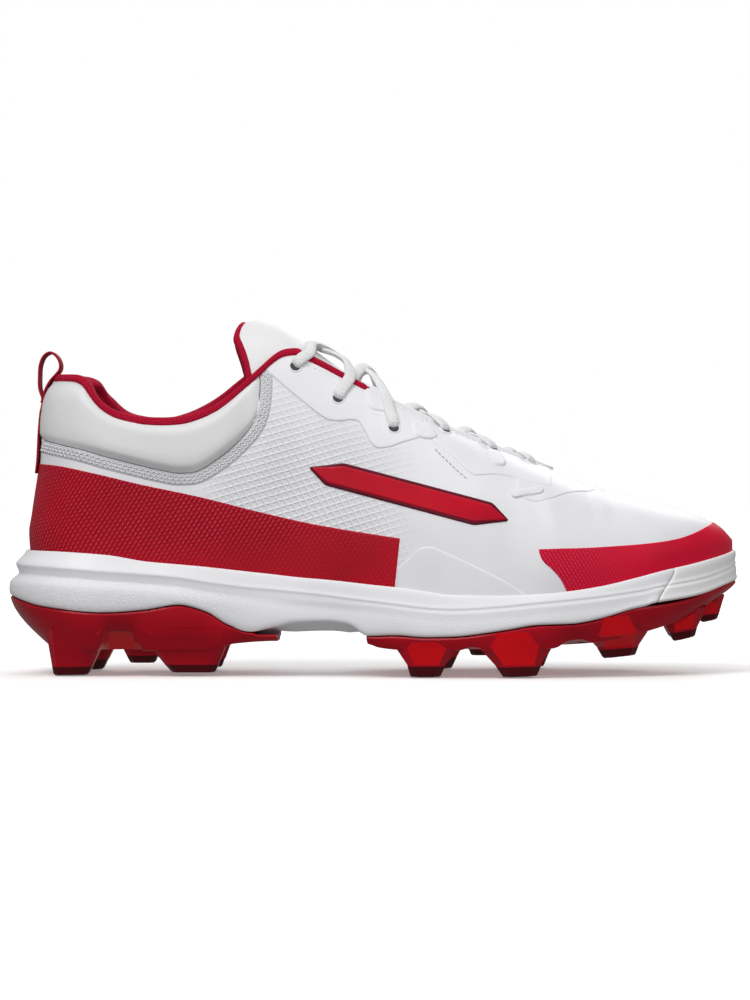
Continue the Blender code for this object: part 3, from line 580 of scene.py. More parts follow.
def make_lace_white():
    n = Nodes("lace_white", (0.86, 0.86, 0.88), 0.78, Sheen_Weight=0.2, Sheen_Roughness=0.4)
    u, v = n.uv()
    a = n.tri(n.m("ADD", u, n.m("MULTIPLY", v, 1.0)), 1.15)
    b = n.tri(n.m("SUBTRACT", u, n.m("MULTIPLY", v, 1.0)), 1.15)
    over = n.m("GREATER_THAN", n.tri(v, 1.15), 0.5)
    plait = n.m("ADD", n.m("MULTIPLY", n.ramp(0.0, 0.8, a), over), n.m("MULTIPLY", n.ramp(0.0, 0.8, b), n.m("SUBTRACT", 1.0, over)))
    fuzz = n.noise(1800.0)
    # the grooves between the plaits are painted grey: painted shade
    n.set("Base Color", n.mix(n.m("ADD", n.m("MULTIPLY", plait, 0.7), n.m("MULTIPLY", fuzz, 0.4), clamp=True), (0.78, 0.78, 0.80), (0.93, 0.93, 0.93)))
    n.bump(plait, 0.7, 0.28)
    n.bump(fuzz, 0.2, 0.08)
    return n.mat


def make_webbing(name, bright, dark, pitch=0.8, rough=0.7):
    n = Nodes(name, bright, rough, Specular_IOR_Level=0.2)
    u, v = n.uv()
    check = n.m("MULTIPLY", n.ramp(0.0, 0.7, n.tri(u, pitch)), n.ramp(0.0, 0.7, n.tri(n.m("ADD", v, n.m("MULTIPLY", n.m("FLOOR", n.m("DIVIDE", u, pitch)), pitch / 2)), pitch)))
    # the lines between the woven blocks are painted dark: painted shade
    n.set("Base Color", n.mix(n.m("ADD", check, n.m("MULTIPLY", n.noise(90.0), 0.25), clamp=True), dark, bright))
    n.bump(check, 0.8, 0.22)
    return n.mat


def make_foam(name, colour, dark, rough=0.5, pebble=0.5):
    """Moulded foam: a smooth skin above, fine moulded pebble on the lower bulge."""
    n = Nodes(name, colour, rough)
    low = n.attr("pebble")
    tone = n.ramp(0.3, 0.7, n.noise(20.0, detail=4.0))
    grain = n.cells(1050.0, feature="DISTANCE_TO_EDGE")
    base = n.mix(tone, dark, colour)
    # on the pebbled zone the grooves between the pebbles are painted grey: painted shade
    n.set("Base Color", n.mix(n.m("MULTIPLY", n.m("SUBTRACT", 1.0, n.ramp(0.0, 0.3, grain)), n.m("MULTIPLY", low, 0.22)), base, (0.5, 0.5, 0.54)))
    n.set("Roughness", n.m("ADD", rough - 0.06, n.m("MULTIPLY", n.noise(500.0), 0.14)))
    n.bump(n.m("MULTIPLY", n.ramp(0.0, 0.35, grain), low), 0.55, 0.16)
    n.bump(n.noise(380.0, detail=4.0), 0.08, 0.12)
    return n.mat


def make_moulded_red(name, deep, bright, rough, coat, wash=0.0):
    """Moulded see-through red plastic: slow streaks of depth under a glossy skin, fine flow marks, faint scuffs."""
    n = Nodes(name, bright, rough, Specular_IOR_Level=0.12, Coat_Weight=coat, Coat_Roughness=0.10, Subsurface_Weight=0.10, Subsurface_Scale=0.003)
    n.bsdf.inputs["Subsurface Radius"].default_value = (1.0, 0.06, 0.05)
    streak = n.noise(26.0, detail=2.0, stretch=(1, 1, 1.8), rough=0.5)
    n.set("Base Color", n.mix(n.ramp(0.25, 0.75, streak), deep, bright))
    scuff = n.ramp(0.62, 0.8, n.noise(420.0, detail=4.0, stretch=(0.4, 1, 2.5), rough=0.6))
    n.set("Roughness", n.m("ADD", rough, n.m("ADD", n.m("MULTIPLY", n.noise(260.0, detail=3.0), 0.10), n.m("MULTIPLY", scuff, 0.14))))
    n.bump(n.noise(120.0, detail=2.0), 0.07, 0.22)
    n.bump(scuff, 0.10, 0.05)
    return n.mat


MAT = dict(
    upper=make_upper_white(),
    skin=make_skin("overlay_white", (0.83, 0.83, 0.86), (0.79, 0.79, 0.82), 0.38),
    pad=make_skin("collar_pad_white", (0.77, 0.77, 0.78), (0.73, 0.73, 0.74), 0.5, 0.6),
    red_quarter=make_dots("quarter_red", (0.54, 0.002, 0.018), (0.32, 0.001, 0.008), (0.68, 0.035, 0.08), 1.95, 0.5, 0.55),
    red_toe=make_dots("toe_red", (0.68, 0.003, 0.034), (0.46, 0.002, 0.022), (0.76, 0.03, 0.10), 1.6, 0.42, 0.8, 0.3),
    knit=make_knit("binding_red", (0.80, 0.010, 0.062), (0.30, 0.002, 0.018)),
    lining=make_knit("lining_red", (0.62, 0.006, 0.042), (0.24, 0.002, 0.012), 1.0, 0.9, 0.35),
    edge=make_skin("edge_white", (0.85, 0.85, 0.87), (0.80, 0.80, 0.83), 0.5),
    tongue=make_skin("tongue_white", (0.80, 0.80, 0.81), (0.76, 0.76, 0.77), 0.55, 1.2),
    lace=make_lace_white(),
    web=make_webbing("webbing_white", (0.86, 0.86, 0.88), (0.70, 0.70, 0.74)),
    tape=make_webbing("loop_red_weave", (0.60, 0.005, 0.035), (0.22, 0.002, 0.012), 0.9),
    thread=make_skin("thread_white", (0.88, 0.88, 0.90), (0.82, 0.82, 0.85), 0.55, 0.3),
    # white thread painted grey: painted shade of the gaps between the stitches
    shaded_thread=make_skin("thread_painted_shade", (0.46, 0.45, 0.45), (0.34, 0.33, 0.34), 0.6, 0.3),
    # the tape's grey is partly its own colour and partly darkened for the shade under the foam pad: painted shade
    band=make_skin("seam_tape", (0.56, 0.56, 0.58), (0.50, 0.50, 0.52), 0.5),
    shade=make_skin("seam_shade", (0.20, 0.20, 0.21), (0.15, 0.15, 0.16), 0.7),
    # dark inside the lace holes: painted shadow
    dark=make_skin("hole_painted_shadow", (0.05, 0.05, 0.055), (0.03, 0.03, 0.035), 0.7),
    patch=make_moulded_red("patch_red", (0.40, 0.0015, 0.016), (0.56, 0.002, 0.018), 0.3, 0.12),
    rim=make_moulded_red("patch_rim", (0.10, 0.002, 0.012), (0.13, 0.003, 0.016), 0.34, 0.1),
    foam=make_foam("midsole_white", (0.86, 0.86, 0.88), (0.81, 0.81, 0.84)),
    bumper=make_foam("bumper_white", (0.92, 0.91, 0.91), (0.88, 0.87, 0.87), 0.42),
    insole=make_knit("insole_fabric", (0.50, 0.006, 0.03), (0.24, 0.003, 0.012), 1.6, 0.9, 0.3),
    outsole=make_moulded_red("outsole_red", (0.32, 0.0025, 0.011), (0.47, 0.0035, 0.015), 0.32, 0.07),
    # brighter red for chosen faces of the outsole: painted highlight and painted glow
    bright=make_moulded_red("outsole_painted_light", (0.60, 0.002, 0.006), (0.76, 0.003, 0.009), 0.28, 0.12),
    tips=make_moulded_red("outsole_tips", (0.040, 0.001, 0.003), (0.085, 0.0015, 0.004), 0.26, 0.1),
)


# ------------------------------------------------------------------ upper: one hollow shell
EYELETS = (117.0, 134.4, 157.0, 178.0, 197.5, 213.5)
EYELET_Z = (125.4, 112.4, 100.2, 93.2, 86.8, 80.6)
HOLE = 2.15


def wall_at(x, side, z):
    down = collar_z(x, side) - z
    pad = ease(26.0, 9.0, down) * (1 - 0.45 * ease(6.0, 0.0, down)) * (1 - ease(76, 106, x))
    return np.where(x > THROAT_TOP, WALL, WALL + COLLAR_PAD * pad)


def angle_at_y(x, side, reach):
    """Section angle where the upper is a given distance from the middle line."""
    q = np.clip(reach / np.maximum(half_width(x, side), 1e-6), 0, 1)
    return np.arccos(q ** (FULL(x) / 2))


def eyelet_at(i, side):
    """The first three holes sit low in the eyestay, the others close to the throat's edge."""
    x = EYELETS[i]
    if i > 2:
        return float(t_of_x(x)), float(angle_at_y(x, side, gap_of(x) + 4.0))
    return float(t_of_x(x)), float(angle_of(x, -1, EYELET_Z[i]))


def sect_length(t, side, a, b, n=24):
    s = np.linspace(0, 1, n)
    aa = a + (b - a) * s
    p = raw(t, side, aa)
    return float(np.linalg.norm(np.diff(p, axis=0), axis=1).sum())


LOW_ROWS, ROWS = 7, 60
COLS = columns(-1, HEEL_X, TOE_X, 1.55, extra=(THROAT_TOP, 219.5, 221.0, 222.0, 222.6, THROAT_END))


def make_shell():
    verts, faces, uvs, weight, net = [], [], [], [], []
    keep_all = []
    base = 0
    for side in (-1, 1):
        x = x_of_t(COLS)
        top = top_angle(x, side)
        low = (bed_of(x) + GAP + 0.1 - belt(x)) / 32.0
        s = np.linspace(0, 1, ROWS + 1)[None, :]
        a = np.concatenate([low[:, None] * (1 - np.linspace(0, 1, LOW_ROWS + 1)[None, :-1]), top[:, None] * s], axis=1)
        t = np.repeat(COLS[:, None], a.shape[1], axis=1)
        p = skin(t, side, a)
        nrm = normal(t, side, a)
        xx = x_of_t(t)
        z = p[..., 2]
        w = wall_at(xx, side, raw(t, side, a)[..., 2])
        arc = np.interp(COLS, _T, ARC[side])
        down = np.concatenate([np.zeros((len(COLS), 1)), np.cumsum(np.linalg.norm(np.diff(p, axis=1), axis=-1), axis=1)], axis=1)
        down = down - down[:, LOW_ROWS : LOW_ROWS + 1]
        uv = np.stack([np.repeat(arc[:, None], a.shape[1], axis=1), down], -1)
        # the quilted net shows in the waist and fades forwards and upwards
        eye = np.where(xx < 169, eyestay_line(xx), eyestay_low(xx))
        m = ease(74, 92, xx) * ease(176, 128, xx) * (0.35 + 0.65 * ease(112, 78, z)) + 0.16 * ease(165, 150, xx) * ease(101, 108, xx)
        m = np.clip(m, 0, 1) * (z < eye + 1)
        if side > 0:
            m = m * 1.0
        n_rows = a.shape[1]
        pts = p.reshape(-1, 3).copy()
        f = grid_faces(len(COLS), n_rows, flip=side > 0)
        centre = pts[f].mean(axis=1)
        keep = np.ones(len(f), bool)
        for i in range(len(EYELETS)):
            te, ae = eyelet_at(i, side)
            c = skin(te, side, ae)
            nn = normal(te, side, ae)
            rel = pts - c
            rel = rel - nn * (rel @ nn)[:, None]
            d = np.linalg.norm(rel, axis=1)
            near = np.linalg.norm(pts - c, axis=1) < 9
            rc = centre - c
            dc = np.linalg.norm(rc - nn * (rc @ nn)[:, None], axis=1)
            gone = (dc < HOLE + 0.05) & (np.linalg.norm(rc, axis=1) < 9)
            keep &= ~gone
            edge = np.zeros(len(pts), bool)
            edge[np.unique(f[gone])] = True
            live = np.zeros(len(pts), bool)
            live[np.unique(f[keep])] = True
            ring = edge & live & near
            pull = (HOLE / np.maximum(d, 1e-6))[:, None]
            pts[ring] = pts[ring] + (rel * (pull - 1))[ring]
        verts.append(pts)
        faces.append(f[keep] + base)
        uvs.append(uv.reshape(-1, 2) + (0 if side < 0 else 0))
        weight.append(w.reshape(-1))
        net.append(m.reshape(-1))
        base += len(pts)
    verts, faces = np.concatenate(verts), np.concatenate(faces)
    full = WALL + COLLAR_PAD
    obj = new_object("upper_shell", to_world(verts), faces, [MAT["upper"], MAT["lining"]], np.concatenate(uvs), 3e-5, dict(net=np.concatenate(net), wall=np.concatenate(weight) / full))
    drop_unused(obj)
    group = obj.vertex_groups.new(name="wall")
    values = np.zeros(len(obj.data.vertices), np.float32)
    obj.data.attributes["wall"].data.foreach_get("value", values)
    for i, v in enumerate(values.tolist()):
        group.add([i], v, "REPLACE")
    mod = obj.modifiers.new("wall", "SOLIDIFY")
    mod.thickness = full / 1000
    mod.offset = -1
    mod.vertex_group = "wall"
    mod.use_rim = True
    mod.use_even_offset = False
    mod.material_offset = 1
    mod.material_offset_rim = 1
    seat(obj, "upper", "upper")
    return obj


# ------------------------------------------------------------------ overlays that follow the skin
EDGE_STEPS = (0.0, 0.12, 0.35, 0.75)


def edge_lift(d, lift, sunk=0.25, reach=0.7):
    """Height of a sheet near its cut edge: it drops round and tucks under the surface."""
    s = np.clip(d / reach, 0, 1)
    return (lift + sunk) * np.sqrt(np.clip(1 - (1 - s) ** 2.4, 0, 1)) - sunk


def row_params(length, step, first=True, last=True):
    """Fractions across a strip of a given length, crowded at its cut edges."""
    inner = max(int(length / step), 2)
    s = list(np.linspace(0, 1, inner + 1))
    if first:
        s += [e / length for e in EDGE_STEPS if e < length / 2]
    if last:
        s += [1 - e / length for e in EDGE_STEPS if e < length / 2]
    return np.unique(np.round(s, 6))


def overlay(name, spans, low, high, lift, mat, slot="upper", step=1.5, rows_step=1.7, shear=None, extra_lift=None, edges=(1, 1, 1, 1), masks=None, z_mode=False, rows=None, node=None, lines=()):
    """A sheet laid on the skin. spans is a run of (side, x0, x1) read in order; low and high give section angles
    for (x, side). edges says which borders are cut: low, high, first, last."""
    verts, faces, uvs, extra = [], [], [], []
    cols = []
    total = 0.0
    for k, (side, x0, x1) in enumerate(spans):
        t = columns(side, x0, x1, step, extra=lines)
        s = np.abs(np.interp(t, _T, ARC[side]) - np.interp(t[0], _T, ARC[side]))
        if k:
            t, s = t[1:], s[1:]
        cols += [(side, float(tt), float(total + ss)) for tt, ss in zip(t, s)]
        total += float(s[-1])
    ends = []
    for at_start in (True, False):
        side, t0, s0 = cols[0] if at_start else cols[-1]
        side1, t1, s1 = cols[1] if at_start else cols[-2]
        if edges[2 if at_start else 3]:
            for e in EDGE_STEPS[1:]:
                f = e / abs(s1 - s0)
                if f < 0.9:
                    ends.append((side, t0 + (t1 - t0) * f, s0 + (s1 - s0) * f))
    cols = sorted(set(cols + ends), key=lambda c: c[2])
    side = np.array([c[0] for c in cols], float)[:, None]
    t = np.array([c[1] for c in cols])[:, None]
    run = np.array([c[2] for c in cols])[:, None]
    x = x_of_t(t)
    a0, a1 = low(x, side), high(x, side)
    a1 = np.maximum(a1, a0 + 1e-4)
    lengths = []
    for c, lo_a, hi_a in zip(cols[:: max(len(cols) // 12, 1)], a0[:: max(len(cols) // 12, 1), 0], a1[:: max(len(cols) // 12, 1), 0]):
        lengths.append(sect_length(c[1], c[0], lo_a, hi_a))
    longest = max(max(lengths), 2.5)
    s = row_params(longest, rows_step, edges[0], edges[1]) if rows is None else np.array(rows)
    a = a0 + (a1 - a0) * s[None, :]
    tt = np.repeat(t, len(s), axis=1)
    if shear is not None:
        z = raw(tt, side, a)[..., 2]
        xs = x_of_t(tt)
        xn = np.clip(xs + shear(xs, z), HEEL_X, TOE_X)
        tt = t_of_x(xn)
        a = angle_of(xn, side, z)
    p0 = raw(tt, side, a)
    up = np.concatenate([np.zeros((len(cols), 1)), np.cumsum(np.linalg.norm(np.diff(p0, axis=1), axis=-1), axis=1)], axis=1)
    whole = up[:, -1:]
    far = np.full(a.shape, 9.0)
    if edges[0]:
        far = np.minimum(far, up)
    if edges[1]:
        far = np.minimum(far, whole - up)
    if edges[2]:
        far = np.minimum(far, run - run[0, 0])
    if edges[3]:
        far = np.minimum(far, run[-1, 0] - run)
    h = edge_lift(far, lift)
    if extra_lift is not None:
        h = h + extra_lift(x_of_t(tt), side, s[None, :], p0, far)
    p = skin(tt, side, a, h)
    base_uv = np.stack([run + 0 * up + float(x_of_t(cols[0][1])), p0[..., 2] * 0 + up + p0[:, :1, 2]], -1)
    flip = (spans[0][0] > 0) == (spans[0][2] > spans[0][1])
    f = grid_faces(len(cols), len(s), flip=flip)
    attrs = {key: fn(x_of_t(tt), side, p, far).reshape(-1) for key, fn in (masks or {}).items()}
    obj = new_object(name, to_world(p.reshape(-1, 3)), f, MAT[mat] if isinstance(mat, str) else mat, base_uv.reshape(-1, 2), 2e-6, attrs)
    seat(obj, slot)
    return obj


def below_rim(x, side):
    return (rim_of(x) - 3.0 - belt(x)) / 32.0


def both(side_first, x0, x1, back=True):
    """Spans that wrap the heel (back) or the toe from one side to the other."""
    if back:
        return ((side_first, x0, HEEL_X), (-side_first, HEEL_X, x1))
    return ((side_first, x0, TOE_X), (-side_first, TOE_X, x1))


def make_overlays():
    made = []
    # red heel quarter, with its slanting front edge
    front = lambda x, z: ease(120, 158, x) * (z - 56.2) * 0.105
    made.append(
        overlay(
            "quarter_red", both(-1, 159.6, 159.6), below_rim, lambda x, s: a_line(red_top, x, s), 0.45, "red_quarter", slot="trim",
            shear=front, edges=(0, 1, 1, 1), rows_step=1.5,
            masks=dict(dots=lambda x, s, p, far: np.clip(ease(44, 64, p[..., 2] + 0.10 * (110 - x)) * ease(160, 96, x) + 0.18, 0, 1)),
        )
    )
    # toe band round the front of the foot
    made.append(
        overlay(
            "toe_band_red", both(-1, 215.2, 215.2, back=False), lambda x, s: np.maximum(a_line(toe_low, x, s), below_rim(x, s)), lambda x, s: a_line(toe_top, np.minimum(x, 290.4), s), 0.45, "red_toe",
            slot="trim", edges=(1, 1, 1, 1), rows_step=1.3, step=1.3,
            masks=dict(dots=lambda x, s, p, far: ease(262, 226, x)),
        )
    )
    for side, word in ((-1, "outer"), (1, "inner")):
        made.append(overlay(f"eyestay_{word}", ((side, 103.8, 169.6),), lambda x, s: a_line(eyestay_line, x, s), lambda x, s: top_angle(x, s) - 0.004, 0.5, "skin", edges=(1, 0, 1, 1), step=1.3))
        made.append(overlay(f"eyestay_front_{word}", ((side, 169.0, 221.6),), lambda x, s: a_line(eyestay_low, x, s), lambda x, s: top_angle(x, s) - 0.004, 0.42, "skin", edges=(1, 0, 1, 1), step=1.3))
        made.append(overlay(f"forefoot_skin_{word}", ((side, 158.4, 209.6),), below_rim, lambda x, s: np.maximum(a_line(foxing_line, x, s), below_rim(x, s) + 0.01), 0.35, "skin", edges=(0, 1, 1, 1), step=1.3))
        # foam collar panel
        made.append(
            overlay(
                f"collar_pad_{word}", ((side, HEEL_X, 102.5),), lambda x, s: a_line(pad_seam, x, s), lambda x, s: top_angle(x, s) - 0.002, 0.15, "pad", edges=(1, 0, 0, 1), step=1.3, rows_step=1.1,
                extra_lift=lambda x, s, up, p, far: foam(x, s, up) * ease(0, 2.4, far),
            )
        )
    return made


def make_saddle():
    """Panel over the toe joints in front of the throat, with its curved lower seam."""
    seam = curve(line((206, 75.0), (210, 71.6), (214.4, 70.6), (222.4, 72.2), (227.9, 74.0), (234, 74.6), (240, 75.2)), "z")
    x = np.concatenate([np.linspace(206.0, 239.0, 30), [239.3, 239.6, 239.9]])
    verts, faces, uvs = [], [], []
    base = 0
    for side in (-1, 1):
        t = t_of_x(x)[:, None]
        xs = x[:, None]
        a0 = angle_of(xs, side, seam(xs))
        top = np.where(xs > THROAT_END, math.pi / 2, top_angle(xs, side) - 0.004)
        s = row_params(30.0, 1.4, True, False)[None, :]
        a = a0 + (top - a0) * s
        tt = np.repeat(t, s.shape[1], axis=1)
        p0 = raw(tt, side, a)
        up = np.concatenate([np.zeros((len(x), 1)), np.cumsum(np.linalg.norm(np.diff(p0, axis=1), axis=-1), axis=1)], axis=1)
        far = np.minimum(np.minimum(up, xs - 206.0 + 0 * up), (239.9 - xs) + 0 * up)
        p = skin(tt, side, a, edge_lift(far, 0.28))
        verts.append(p.reshape(-1, 3))
        uvs.append(np.stack([xs + 0 * up, up], -1).reshape(-1, 2))
        faces.append(grid_faces(len(x), s.shape[1], flip=side > 0) + base)
        base += p.shape[0] * p.shape[1]
    obj = new_object("vamp_saddle", to_world(np.concatenate(verts)), np.concatenate(faces), MAT["skin"], np.concatenate(uvs), 3e-5)
    return seat(obj, "upper")


# small sheets given by an outline in the side view: a rounded polygon, filled by rings that shrink to its middle
def rounded(points, radius, n=7):
    pts = [np.array(p, float) for p in points]
    r = radius if isinstance(radius, (list, tuple)) else [radius] * len(pts)
    out = []
    for i, p in enumerate(pts):
        a, b = pts[i - 1] - p, pts[(i + 1) % len(pts)] - p
        la, lb = np.linalg.norm(a), np.linalg.norm(b)
        k = min(r[i], 0.49 * la, 0.49 * lb)
        for s in np.linspace(0, 1, n):
            out.append((1 - s) ** 2 * (p + a / la * k) + 2 * s * (1 - s) * p + s * s * (p + b / lb * k))
    return np.array(out)


def dense(outline, step):
    closed = np.vstack([outline, outline[:1]])
    d = np.concatenate([[0], np.cumsum(np.linalg.norm(np.diff(closed, axis=0), axis=1))])
    n = max(int(d[-1] / step), 12)
    s = np.linspace(0, d[-1], n, endpoint=False)
    return np.stack([np.interp(s, d, closed[:, k]) for k in range(2)], -1)


def on_skin(side, xz, lift):
    """Points of the side view laid on the skin, by station and height."""
    x, z = xz[..., 0], xz[..., 1]
    return skin(t_of_x(x), side, angle_of(x, side, z), lift)


def patch(name, side, outline, lift, mat, slot="upper", step=0.9, inner_steps=(0, 0.12, 0.35, 0.8), sunk=0.25, reach=0.7, crown=0.0, hollow=0.0, finish=True, spine_line=None):
    """A small sheet with a cut edge. Rings shrink towards the middle line of the outline."""
    pts = dense(np.array(outline, float), step)
    mid = pts.mean(axis=0)
    if spine_line is not None:
        a, b = np.array(spine_line[0], float), np.array(spine_line[1], float)
        k = np.clip(((pts - a) @ (b - a)) / ((b - a) @ (b - a)), 0, 1)
        core = a + (b - a) * k[:, None]
    else:
        core = np.repeat(mid[None, :], len(pts), axis=0)
    reach_mm = np.linalg.norm(pts - core, axis=1)
    rings = []
    far = []
    big = float(reach_mm.max())
    depths = list(inner_steps) + list(np.arange(1.6, big, 1.3))
    for d in depths:
        f = np.clip(1 - d / np.maximum(reach_mm, 1e-6), 0, 1)
        if d > inner_steps[-1]:
            f = np.full(len(pts), max(1 - (d / big), 0.0))
            f = np.minimum(f, np.clip(1 - inner_steps[-1] / np.maximum(reach_mm, 1e-6), 0, 1) * 0.999)
        rings.append(core + (pts - core) * f[:, None])
        far.append(reach_mm * (1 - f))
    rings.append(core)
    far.append(reach_mm)
    rings, far = np.array(rings), np.array(far)
    h = edge_lift(far, lift, sunk, reach) + crown * np.sqrt(np.clip(1 - (1 - np.clip(far / (0.6 * big), 0, 1)) ** 2, 0, 1))
    if hollow:
        h = h - hollow * ease(1.0, 1.8, far)
    p = on_skin(side, rings, h)
    f = grid_faces(len(rings), len(pts), flip=False, wrap=True)
    area2 = float(np.sum(pts[:, 0] * np.roll(pts[:, 1], -1) - np.roll(pts[:, 0], -1) * pts[:, 1]))
    if (area2 > 0) != (side < 0):
        f = f[:, ::-1]
    uv = rings.reshape(-1, 2)
    obj = new_object(name, to_world(p.reshape(-1, 3)), f, MAT[mat] if isinstance(mat, str) else mat, uv, 4e-6, dict(dots=np.zeros(len(uv))))
    bm = bmesh.new()
    bm.from_mesh(obj.data)
    bmesh.ops.dissolve_degenerate(bm, edges=bm.edges, dist=1e-6)
    bm.to_mesh(obj.data)
    bm.free()
    if finish:
        seat(obj, slot)
    return obj


# ------------------------------------------------------------------ stitches
def bead(segments=6, rings=5):
    v = []
    for i in range(rings + 1):
        a = math.pi * i / rings
        for k in range(segments):
            b = math.tau * k / segments
            v.append((-math.cos(a), math.sin(a) * math.cos(b), math.sin(a) * math.sin(b)))
    v = np.array(v)
    v[:, 0] = np.sign(v[:, 0]) * np.abs(v[:, 0]) ** 0.7
    return v, grid_faces(rings + 1, segments, wrap=True)


def stitches(name, rows, mat, slot="trim", length=1.7, radius=0.24):
    """Thread beads: rows hold centre, direction and surface normal arrays."""
    tv, tf = bead()
    c, d, n = (np.concatenate([r[k] for r in rows]) for k in range(3))
    d = d / np.linalg.norm(d, axis=1, keepdims=True)
    n = n - d * np.sum(n * d, axis=1, keepdims=True)
    n = n / np.linalg.norm(n, axis=1, keepdims=True)
    b = np.cross(n, d)
    v = c[:, None, :] + d[:, None, :] * (tv[None, :, :1] * length / 2) + b[:, None, :] * (tv[None, :, 1:2] * radius) + n[:, None, :] * (tv[None, :, 2:3] * radius)
    f = (tf[None] + (np.arange(len(c)) * len(tv))[:, None, None]).reshape(-1, 4)
    uv = np.repeat(np.stack([tv[:, 0] * length, tv[:, 1]], -1)[None], len(c), axis=0).reshape(-1, 2)
    obj = new_object(name, to_world(v.reshape(-1, 3)), f, MAT[mat], uv, 0)
    bm = bmesh.new()
    bm.from_mesh(obj.data)
    bmesh.ops.remove_doubles(bm, verts=bm.verts, dist=1e-6)
    bm.to_mesh(obj.data)
    bm.free()
    return seat(obj, slot)


def path_on_skin(side, xz, step, lift, offset=0.0):
    """Evenly spaced points along a line of the side view, with tangent, normal and the way across."""
    xz = np.array(xz, float)
    d = np.concatenate([[0], np.cumsum(np.linalg.norm(np.diff(xz, axis=0), axis=1))])
    fine = np.linspace(0, d[-1], 600)
    pts = np.stack([np.interp(fine, d, xz[:, k]) for k in range(2)], -1)
    if offset:
        tang = np.gradient(pts, axis=0)
        tang = tang / np.linalg.norm(tang, axis=1, keepdims=True)
        pts = pts + np.stack([-tang[:, 1], tang[:, 0]], -1) * offset
    p = on_skin(side, pts, lift)
    run = np.concatenate([[0], np.cumsum(np.linalg.norm(np.diff(p, axis=0), axis=1))])
    n = max(int(run[-1] / step), 2)
    s = (np.arange(n) + 0.5) * run[-1] / n
    at = np.stack([np.interp(s, run, p[:, k]) for k in range(3)], -1)
    flat = np.stack([np.interp(s, run, pts[:, k]) for k in range(2)], -1)
    nrm = normal(t_of_x(flat[:, 0]), side, angle_of(flat[:, 0], side, flat[:, 1]))
    tan = np.stack([np.gradient(at[:, k]) for k in range(3)], -1)
    tan = tan / np.maximum(np.linalg.norm(tan, axis=1, keepdims=True), 1e-9)
    return at, tan, nrm, np.cross(nrm, tan)


# ------------------------------------------------------------------ knitted binding of collar and throat
def make_binding():
    rows = []
    cols = columns(-1, HEEL_X, THROAT_END, 1.2, extra=(THROAT_TOP, 146.5, 219.5, 221.0, 222.0, 222.6))
    path = [(-1, t) for t in cols] + [(1, t) for t in cols[::-1][1:-1]]
    side = np.array([c[0] for c in path], float)
    t = np.array([c[1] for c in path])
    x = x_of_t(t)
    a = top_angle(x, side)
    p = raw(t, side, a)
    n = normal(t, side, a)
    u = raw(t, side, a) - raw(t, side, a - 0.05)
    u = u / np.linalg.norm(u, axis=1, keepdims=True)

    def soft(v, k):
        for _ in range(k):
            v = (np.roll(v, 1, axis=0) + 2 * v + np.roll(v, -1, axis=0)) / 4
        return v

    n, u = soft(n, 10), soft(u, 10)
    n = n / np.linalg.norm(n, axis=1, keepdims=True)
    u = u - n * np.sum(u * n, axis=1, keepdims=True)
    u = u / np.linalg.norm(u, axis=1, keepdims=True)
    thick = wall_at(x, side, collar_z(x, side))
    thick = soft(thick[:, None], 6)[:, 0]
    half = thick / 2 + 1.1
    wide = np.where(x > 147, 0.62, 1.0)
    wide = soft(wide[:, None], 3)[:, 0]
    c = soft(p, 2) - n * (thick / 2)[:, None] - u * (0.75 * wide)[:, None]
    ring = [(1.0, -2.6, -0.8), (1.0, -2.3, -0.1), (1.03, -1.5, 0.12), (1.04, -0.7, 0.12)]
    ring += [(math.cos(b) * 1.03, 1.5 * math.sin(b), 0.0) for b in np.linspace(0.0, math.pi, 11)]
    ring += [(-1.03, -1.1, 0.0), (-1.0, -2.3, 0.0), (-1.0, -2.6, 0.55)]
    grid = np.stack([c + n * (half * k + inset)[:, None] + u * (h * wide)[:, None] for k, h, inset in ring], axis=1)
    arc = np.concatenate([[0], np.cumsum(np.linalg.norm(np.diff(c, axis=0), axis=1))])
    around = np.concatenate([[0], np.cumsum(np.linalg.norm(np.diff(grid[20], axis=0), axis=1))])
    grid = np.concatenate([grid, grid[:1]], axis=0)
    total = arc[-1] + np.linalg.norm(c[-1] - c[0])
    arc = np.concatenate([arc, [total]])
    uv = np.stack([arc[:, None] + 0 * around[None, :], around[None, :] + 0 * arc[:, None]], -1)
    f = grid_faces(len(grid), len(ring), flip=False)
    front = np.concatenate([x, x[:1]])
    mats = np.repeat((0.5 * (front[:-1] + front[1:]) > 147.0).astype(int), len(ring) - 1)
    obj = new_object("collar_binding", to_world(grid.reshape(-1, 3)), f, [MAT["knit"], MAT["edge"]], uv.reshape(-1, 2), 0, None, mats)
    bm = bmesh.new()
    bm.from_mesh(obj.data)
    bmesh.ops.remove_doubles(bm, verts=bm.verts, dist=1e-6)
    bm.to_mesh(obj.data)
    bm.free()
    return seat(obj, "trim")


# ------------------------------------------------------------------ tongue
CREST = dict(x=(91, 94, 98, 102.5, 108, 114, 120, 130, 146, 164, 182, 200, 233), z=(143.0, 145.4, 146.4, 145.4, 142.8, 139.0, 135.0, 128.4, 119.0, 108.6, 98.8, 90.4, 75.4))
TONGUE = dict(x=(91, 98, 119, 160, 200, 225, 233), half=(20.0, 23.5, 25.5, 27.0, 25.5, 21.0, 17.0))
crest_of, tongue_half = curve(CREST, "z"), curve(TONGUE, "half")


def upper_z(x, y):
    side = np.where(y < spine(x), -1.0, 1.0)
    q = np.clip(np.abs(y - spine(x)) / np.maximum(half_width(x, side), 1e-6), 0, 1)
    n, b = FULL(x), belt(x)
    return b + (CROWN(x) - b) * (1 - q**n) ** (1 / n)


